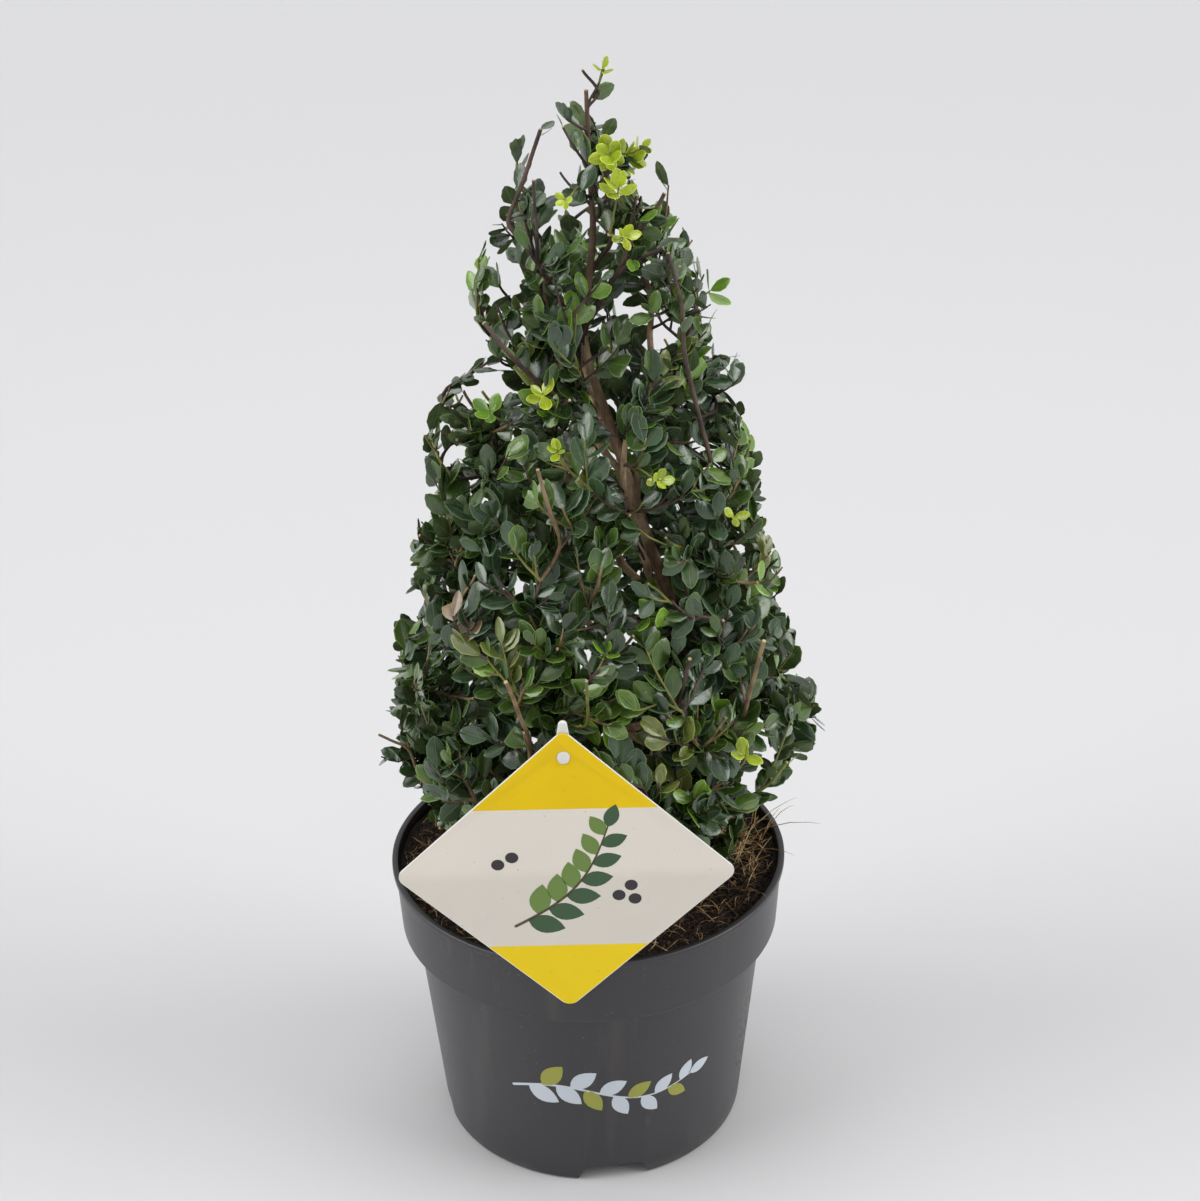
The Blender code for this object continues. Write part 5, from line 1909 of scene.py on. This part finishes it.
# Clusters of new leaves at the front: tint, where, how many leaves, their length
rosettes = (
    ("lime", (0.028, -0.010, 0.588), 9, 0.0120), ("lime", (0.018, -0.020, 0.593), 9, 0.0115),
    ("lime", (0.022, -0.028, 0.579), 7, 0.0105), ("lime", (0.025, -0.040, 0.558), 6, 0.0105),
    ("lime", (0.034, -0.006, 0.592), 5, 0.0100),
    ("lime", (-0.018, -0.060, 0.484), 6, 0.0100), ("lime", (-0.011, -0.080, 0.462), 5, 0.0080),
    ("lime", (0.040, -0.080, 0.444), 7, 0.0095), ("lime", (0.079, -0.060, 0.414), 4, 0.0085),
    ("lime", (0.084, -0.090, 0.289), 4, 0.0110), ("fresh", (0.011, -0.100, 0.358), 5, 0.0110),
    ("lime", (-0.005, -0.040, 0.577), 4, 0.0080), ("fresh", (-0.045, -0.060, 0.475), 5, 0.0110),
    ("lime", (0.0150, -0.001, 0.6310), 3, 0.0090), ("fresh", (0.068, -0.020, 0.522), 3, 0.0160),
)


# Shape of a leaf one unit long
blade = {
    "firstSeed": 70,
    "narrowest": 0.49,
    "widening": 0.20,
    "fullness": (1.02, 1.30),
    "bow": (0.02, 0.09),
    "droop": (-0.05, 0.11),
    "twist": (-0.10, 0.10),
    "bluntness": 0.66,
    "footShare": 0.72,
    "footLength": 0.35,
    "clippedAt": 0.72,
    "steps": 5,
    "margin": (0.030, 0.945, 0.91),
    "tipMargin": 0.02,
    "marginRise": 0.010,
    "spine": (0.26, 0.52, 0.78),
    "spineDrop": 0.012,
    "thickness": 0.018,
}


def leafLines(number, clipped):
    # The leaf's edge, the inner line of its pale margin, the points along its rib, and its width
    dice = random.Random(blade["firstSeed"] + number)
    width = blade["narrowest"] + blade["widening"] * number / leaf["kinds"]
    fullness, bow = dice.uniform(*blade["fullness"]), dice.uniform(*blade["bow"])
    droop, twist = dice.uniform(*blade["droop"]), dice.uniform(*blade["twist"])
    end, steps = blade["clippedAt"] if clipped else 1.0, blade["steps"]

    def half(t):
        foot = blade["footShare"] + (1 - blade["footShare"]) * min(1, t / blade["footLength"])
        return width / 2 * math.sin(math.pi * t**fullness) ** blade["bluntness"] * foot

    def height(x, y):
        return -droop * x * x - bow * (2 * y / width) ** 2 * 0.55 + twist * x * y

    middle = [end * (1 - math.cos(math.pi * (i + 0.35) / (steps + 0.35))) / 2 for i in range(1, steps)]
    shares = [0.0, *middle, end]
    back = shares[1:] if clipped else shares[1:-1]  # a clipped leaf ends in an edge, not a point
    loop = [(t, 1) for t in shares] + [(t, -1) for t in reversed(back)]
    shift, longways, sideways = blade["margin"]
    edge, inner = [], []
    for t, side in loop:
        y = side * half(min(t, 0.999)) if t > 0 else 0.0
        edge.append(Vector((t, y, height(t, y))))
        shrunk = Vector((shift + t * longways if t < end else t - blade["tipMargin"], y * sideways))
        inner.append(Vector((shrunk.x, shrunk.y, height(shrunk.x, shrunk.y) + blade["marginRise"])))
    spine = [Vector((t * end, 0, height(t * end, 0) - blade["spineDrop"])) for t in blade["spine"]]
    return edge, inner, spine, width


def leafMesh(number, clipped=False):
    # A closed lens: pale margin round a bowed blade, flat underneath; about 50 small faces
    edge, inner, spine, width = leafLines(number, clipped)
    bm = bmesh.new()
    outer = [bm.verts.new(p) for p in edge]
    ring = [bm.verts.new(p) for p in inner]
    crease = [bm.verts.new(p) for p in spine]
    under = [bm.verts.new(p - Vector((0, 0, blade["thickness"]))) for p in spine]
    backs = bm.faces.layers.bool.new("back")
    margins = bm.faces.layers.bool.new("margin")
    count = len(outer)

    def nearest(points, vertex):
        return min(range(len(points)), key=lambda k: abs(points[k].co.x - vertex.co.x))

    for i in range(count):
        k = (i + 1) % count
        face = bm.faces.new((outer[i], outer[k], ring[k], ring[i]))
        face[margins] = True
    for rim, spineVerts, back in ((ring, crease, False), (outer, under, True)):
        for i in range(count):
            k = (i + 1) % count
            a, b = nearest(spineVerts, rim[i]), nearest(spineVerts, rim[k])
            made = [bm.faces.new((rim[i], rim[k], spineVerts[b]))]
            if a != b:
                made.append(bm.faces.new((rim[i], spineVerts[b], spineVerts[a])))
            for face in made:
                face[backs] = back
    bmesh.ops.recalc_face_normals(bm, faces=bm.faces)
    bmesh.ops.triangulate(bm, faces=bm.faces)
    uv = bm.loops.layers.uv.new("leaf")
    for face in bm.faces:
        for loop in face.loops:
            loop[uv].uv = (loop.vert.co.x, loop.vert.co.y / width + 0.5)
    mesh = meshOf(bm, f"leaf {number}")
    smoothUnder(mesh, 45)
    return mesh


def turnTo(along, facing):
    # Euler turn that lays X along the leaf and Z on its upper side
    x = along.normalized()
    z = (facing - facing.dot(x) * x).normalized()
    return Matrix((x, z.cross(x), z)).transposed().to_euler()


def leafLook(dark, pale):
    def look(coat):
        flat = coat.add("ShaderNodeUVMap", {"uv_map": "leaf"})["UV"]
        across = coat.add("ShaderNodeSeparateXYZ", None, {"Vector": flat})
        rib = coat.step(abs(across["Y"] - 0.5), 0.035, 0.010)
        tone = coat.grain(60, 3)
        mottle = coat.grain(420, 4)
        blotch = rgb(*[c * 0.72 for c in dark])
        pith = rgb(*[min(c * 1.3 + 12, c + 34) for c in pale])
        colour = coat.over(
            coat.mix(coat.step(tone, 0.34, 0.66), rgb(*dark), rgb(*pale)),
            (coat.step(mottle, 0.48, 0.74) * 0.30, blotch), (rib * 0.45, pith),
        )
        normal = coat.bump(mottle - rib * 0.8, 0.00025)
        return {"Base Color": colour, "Roughness": 0.17 + mottle * 0.15, "Normal": normal}
    return look


def plainLeafLook(shade, rough):
    def look(coat):
        tone = coat.grain(300, 3)
        colour = coat.mix(tone, rgb(*[c * 0.88 for c in shade]), rgb(*[c * 1.10 for c in shade]))
        return {"Base Color": colour, "Roughness": rough + tone * 0.1}
    return look


def solidTree(*names):
    # One surface of these pieces and solids, to keep leaves out of them
    points, faces = [], []
    for name in names:
        mesh = (bpy.data.objects.get(name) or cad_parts[name]).data
        start = len(points)
        points += [vertex.co.copy() for vertex in mesh.vertices]
        faces += [tuple(start + i for i in face.vertices) for face in mesh.polygons]
    return BVHTree.FromPolygons(points, faces)


def sprayMesh(name, leaves):
    # Leaves of one tint, each with its place, kind, turn and size, as the points that the spray tree reads
    points, kinds, turned, sizes = zip(*leaves)
    mesh = makeMesh(name, points)
    mesh.attributes.new("kind", "INT", "POINT").data.foreach_set("value", kinds)
    angles = [angle for turn in turned for angle in turn]
    mesh.attributes.new("turn", "FLOAT_VECTOR", "POINT").data.foreach_set("vector", angles)
    mesh.attributes.new("size", "FLOAT", "POINT").data.foreach_set("value", sizes)
    return mesh


def leafFits(root, along, across, length, walls):
    # The leaf's middle line and the lines between its sides and ends stay clear of the walls, the card
    # and the crown's outside
    tip = root + along * length
    middle = root + along * length * leaf["middle"]
    left = middle + across * length * leaf["halfWidth"]
    right = middle - across * length * leaf["halfWidth"]
    if crownDepth(tip) < -leaf["slack"] or crownDepth(middle) < -leaf["slack"]:
        return False
    for point in (tip, left, right):
        if not inBox(point) or not behindCard(point, leaf["cardGap"]):
            return False
        if underRim(point, leaf["rimInset"], leaf["overRim"]):
            return False
    first = root + along * leaf["clearFrom"]
    for a, b in ((first, tip), (left, right), (first, left), (first, right), (left, tip), (right, tip)):
        if walls.ray_cast(a, (b - a).normalized(), (b - a).length)[0]:
            return False
    return not inSkyGap((root + along * length * 0.25, middle, left, right, tip))


def hidesWood(point):
    return trunkLine.hiddenBy(point, shoots["windowHalf"]) or (
        rng.random() < shoots["shownClearing"] and shownLines.hiddenBy(point, shoots["shownHalf"]))


rosette = {
    "under": 0.004,
    "step": 0.002,
    "towardsView": 0.7,
    "lean": (24, 50),  # of the first leaf, and how much more the last one has
    "leanJitter": 14,
    "spacing": 0.0009,
    "lengths": (0.62, 1.10),
    "faceUp": 0.3,
    "radii": (0.0007, 0.0004),
}


def addRosette(tint, place, count, length, sprays, stems):
    # A few young leaves round the end of a short shoot, brought out to the crown's surface
    place = Vector(place)
    view = (shot["place"] - place).normalized()
    while crownDepth(place) > rosette["under"] and inBox(place + view * rosette["step"]):
        place += view * rosette["step"]
    point, along = bestStart(stems, place)[1:3]
    route = shootRoute(point, along, place, 4)
    heading = ((route[-1] - route[-2]).normalized() + view * rosette["towardsView"]).normalized()
    lowest, spread = rosette["lean"]
    jitter = rosette["leanJitter"]
    for i in range(count):
        lean = math.radians(lowest + spread * (i / count) ** 0.5 + rng.uniform(-jitter, jitter))
        aside = Matrix.Rotation(i * goldenAngle, 3, heading) @ heading.orthogonal().normalized()
        root = place - heading * rosette["spacing"] * i
        leafAlong = heading * math.cos(lean) + aside * math.sin(lean)
        size = length * rng.uniform(*rosette["lengths"])
        kind = rng.randrange(leaf["kinds"] // 2, leaf["kinds"])  # the rounder ones
        sprays[tint].append((root, kind, turnTo(leafAlong, heading + up * rosette["faceUp"]), size))
    return Stem("green", route, taperRadii(*rosette["radii"], len(route)))


def fullLength(height):
    # Leaves are a little shorter towards the top of the plant
    high = min(max((height - plant["foot"]) / (plant["top"] - plant["foot"]), 0), 1)
    return leaf["length"] + (leaf["lengthAtTop"] - leaf["length"]) * high**leaf["shorterFrom"]


def facingFor(point, heading, along):
    # The way a leaf's upper side looks: towards the light, with some disorder
    light = up * 0.7 + outward(point) * 0.6
    spread = leaf["scatter"]
    facing = heading * 0.4 + light * 0.8 + Vector([rng.uniform(-spread, spread) for _ in range(3)])
    if (facing - facing.dot(along) * along).dot(light) < 0 and rng.random() < leaf["turnedUp"]:
        return light
    return facing


def growLeaves(stems, sprays, walls, tintOf, sparse=1.0):
    for number, stem in enumerate(stems):
        leaves = sprays[tintOf()]
        size = rng.uniform(*leaf["sprayScale"])
        leafy = min(stem.length * leaf["leafyShare"], leaf["leafyPart"])
        back = leaf["bareTip"] + stem.bareEnd
        turn = number * 1.7
        while back < leafy:
            point, heading = stem.at(1 - back / stem.length)
            turn += goldenAngle
            closer = leaf["endSpacing"] if back < leaf["endPart"] else 1
            back += leaf["spacing"] * sparse * rng.uniform(*leaf["spacingJitter"]) * closer
            young = leaf["newLength"] + (1 - leaf["newLength"]) * min(1, back / leaf["newPart"])
            length = fullLength(point.z) * young * size * rng.triangular(*leaf["lengths"])
            steeper = leaf["endLean"] if back < leaf["endPart"] else 1
            for attempt in range(leaf["tries"]):
                lean = math.radians(rng.uniform(*leaf["lean"])) * steeper
                spin = Matrix.Rotation(turn + attempt * leaf["tryTurn"], 3, heading)
                aside = spin @ heading.orthogonal().normalized()
                along = (heading * math.cos(lean) + aside * math.sin(lean)).normalized()
                facing = facingFor(point, heading, along)
                across = facing.cross(along).normalized()
                middle = point + along * length * leaf["middle"]
                if leafFits(point, along, across, length, walls) and not hidesWood(middle):
                    clipped = rng.random() < leaf["clippedShare"]
                    kind = leaf["kinds"] if clipped else rng.randrange(leaf["kinds"])
                    leaves.append((point, kind, turnTo(along, facing), length))
                    break
                length *= leaf["tryShrink"]


def makeLeaves():
    walls = solidTree("nurseryPot", "pottingMix", "labelCard", "labelStake", "barkLimbs")
    sprays = {tint: [] for tint in leaf["tints"]}
    names = [tint for tint in leaf["tints"] if tint != "lime"]
    weights = [leaf["tints"][tint][0] for tint in names]

    def tintOf():
        return rng.choices(names, weights)[0]

    stalks = [addRosette(*row, sprays, [*boughs, *woods]) for row in rosettes]
    piece = addObject("newStalks", linesMesh("new stalks", [(s.route, s.radii) for s in stalks]))
    runTree(piece, tubes, {"Sides": 6, "Finish": bpy.data.materials["green twig bark"]})
    dress(piece, "bark")

    growLeaves(sides, sprays, walls, tintOf)
    growLeaves(woods, sprays, walls, tintOf)
    growLeaves([stem for stem in shown if stem.route[-1].z > 0.5], sprays, walls, tintOf, 2.0)
    kinds = leaf["kinds"]
    shelf = keepAside("leaf", [*[leafMesh(i) for i in range(kinds)], leafMesh(kinds, True)])
    back = makeMaterial("leaf underside", leafLook((84, 102, 62), (112, 130, 88)), Specular_IOR_Level=0.3)
    used = solidNodes("foliage")
    for tint, (_, dark, pale) in leaf["tints"].items():
        if not sprays[tint]:
            continue
        piece = addObject(f"{tint}Leaves", sprayMesh(f"{tint} leaves", sprays[tint]))
        margin = [min(c * 1.15 + 14, c + 24) for c in pale]
        finish = makeMaterial(f"{tint} leaf", leafLook(dark, pale), Coat_Weight=0.7, Coat_Roughness=0.24)
        runTree(piece, spray, {
            "Leaves": shelf, "Leaf length": 1.0, "Face": finish, "Back": back,
            "Margin": makeMaterial(f"{tint} leaf margin", plainLeafLook(margin, 0.42)),
        })
        dress(piece, "foliage", *used)
        used = []
    print(f"leaves: {sum(len(leaves) for leaves in sprays.values())}")


makeLeaves()


# Floor, light and camera

studio = {
    "floorRadius": 9.0,
    "floorSegments": 96,
    "floorDrop": 0.0002,
    "floor": rgb(207, 207, 208),
    "world": rgb(250, 250, 252),
    "worldStrength": 0.50,
    # direction it comes from, spread in degrees, strength
    "lamps": {
        "left window": ((-1.0, -0.22, 0.54), 43, 1.74),
        "right window": ((1.0, -0.20, 0.56), 41, 1.74),
        "ceiling": ((0.0, 0.40, 1.0), 44, 0.56),
    },
    "panelPlace": (0, -0.1, 1.9),
    "panelSize": 1.6,
    "panelPower": 7.0,
}


def floorLook(coat):
    cloudy = coat.grain(3, 2)
    return {"Base Color": studio["floor"], "Roughness": 0.70 + cloudy * 0.1}


def makeFloor():
    bm = bmesh.new()
    segments, radius = studio["floorSegments"], studio["floorRadius"]
    bmesh.ops.create_circle(bm, cap_ends=True, segments=segments, radius=radius)
    mesh = meshOf(bm, "floor")
    paint(mesh, makeMaterial("studio floor", floorLook, Specular_IOR_Level=0.25))
    floor = addObject("floor", mesh)
    floor.location.z = -studio["floorDrop"]


def makeLights():
    world = bpy.data.worlds.new("studio")
    world.use_nodes = True
    sky = world.node_tree.nodes["Background"]
    sky.inputs["Color"].default_value = studio["world"]
    sky.inputs["Strength"].default_value = studio["worldStrength"]
    bpy.context.scene.world = world
    for name, (side, spread, strength) in studio["lamps"].items():
        light = bpy.data.lights.new(name, "SUN")
        light.angle = math.radians(spread)
        light.energy = strength
        addObject(name, light).rotation_euler = Vector(side).to_track_quat("Z", "Y").to_euler()
    panel = bpy.data.lights.new("light panel", "AREA")
    panel.size = studio["panelSize"]
    panel.energy = studio["panelPower"]
    addObject("light panel", panel).location = studio["panelPlace"]


def makeCamera():
    camera = addObject("camera", bpy.data.cameras.new("camera"))
    camera.data.lens = shot["lens"]
    camera.data.sensor_fit = "HORIZONTAL"
    camera.matrix_world = shotMatrix
    bpy.context.scene.camera = camera


makeFloor()
makeLights()
makeCamera()
bpy.context.scene.view_settings.view_transform = "Standard"
print("stage made")
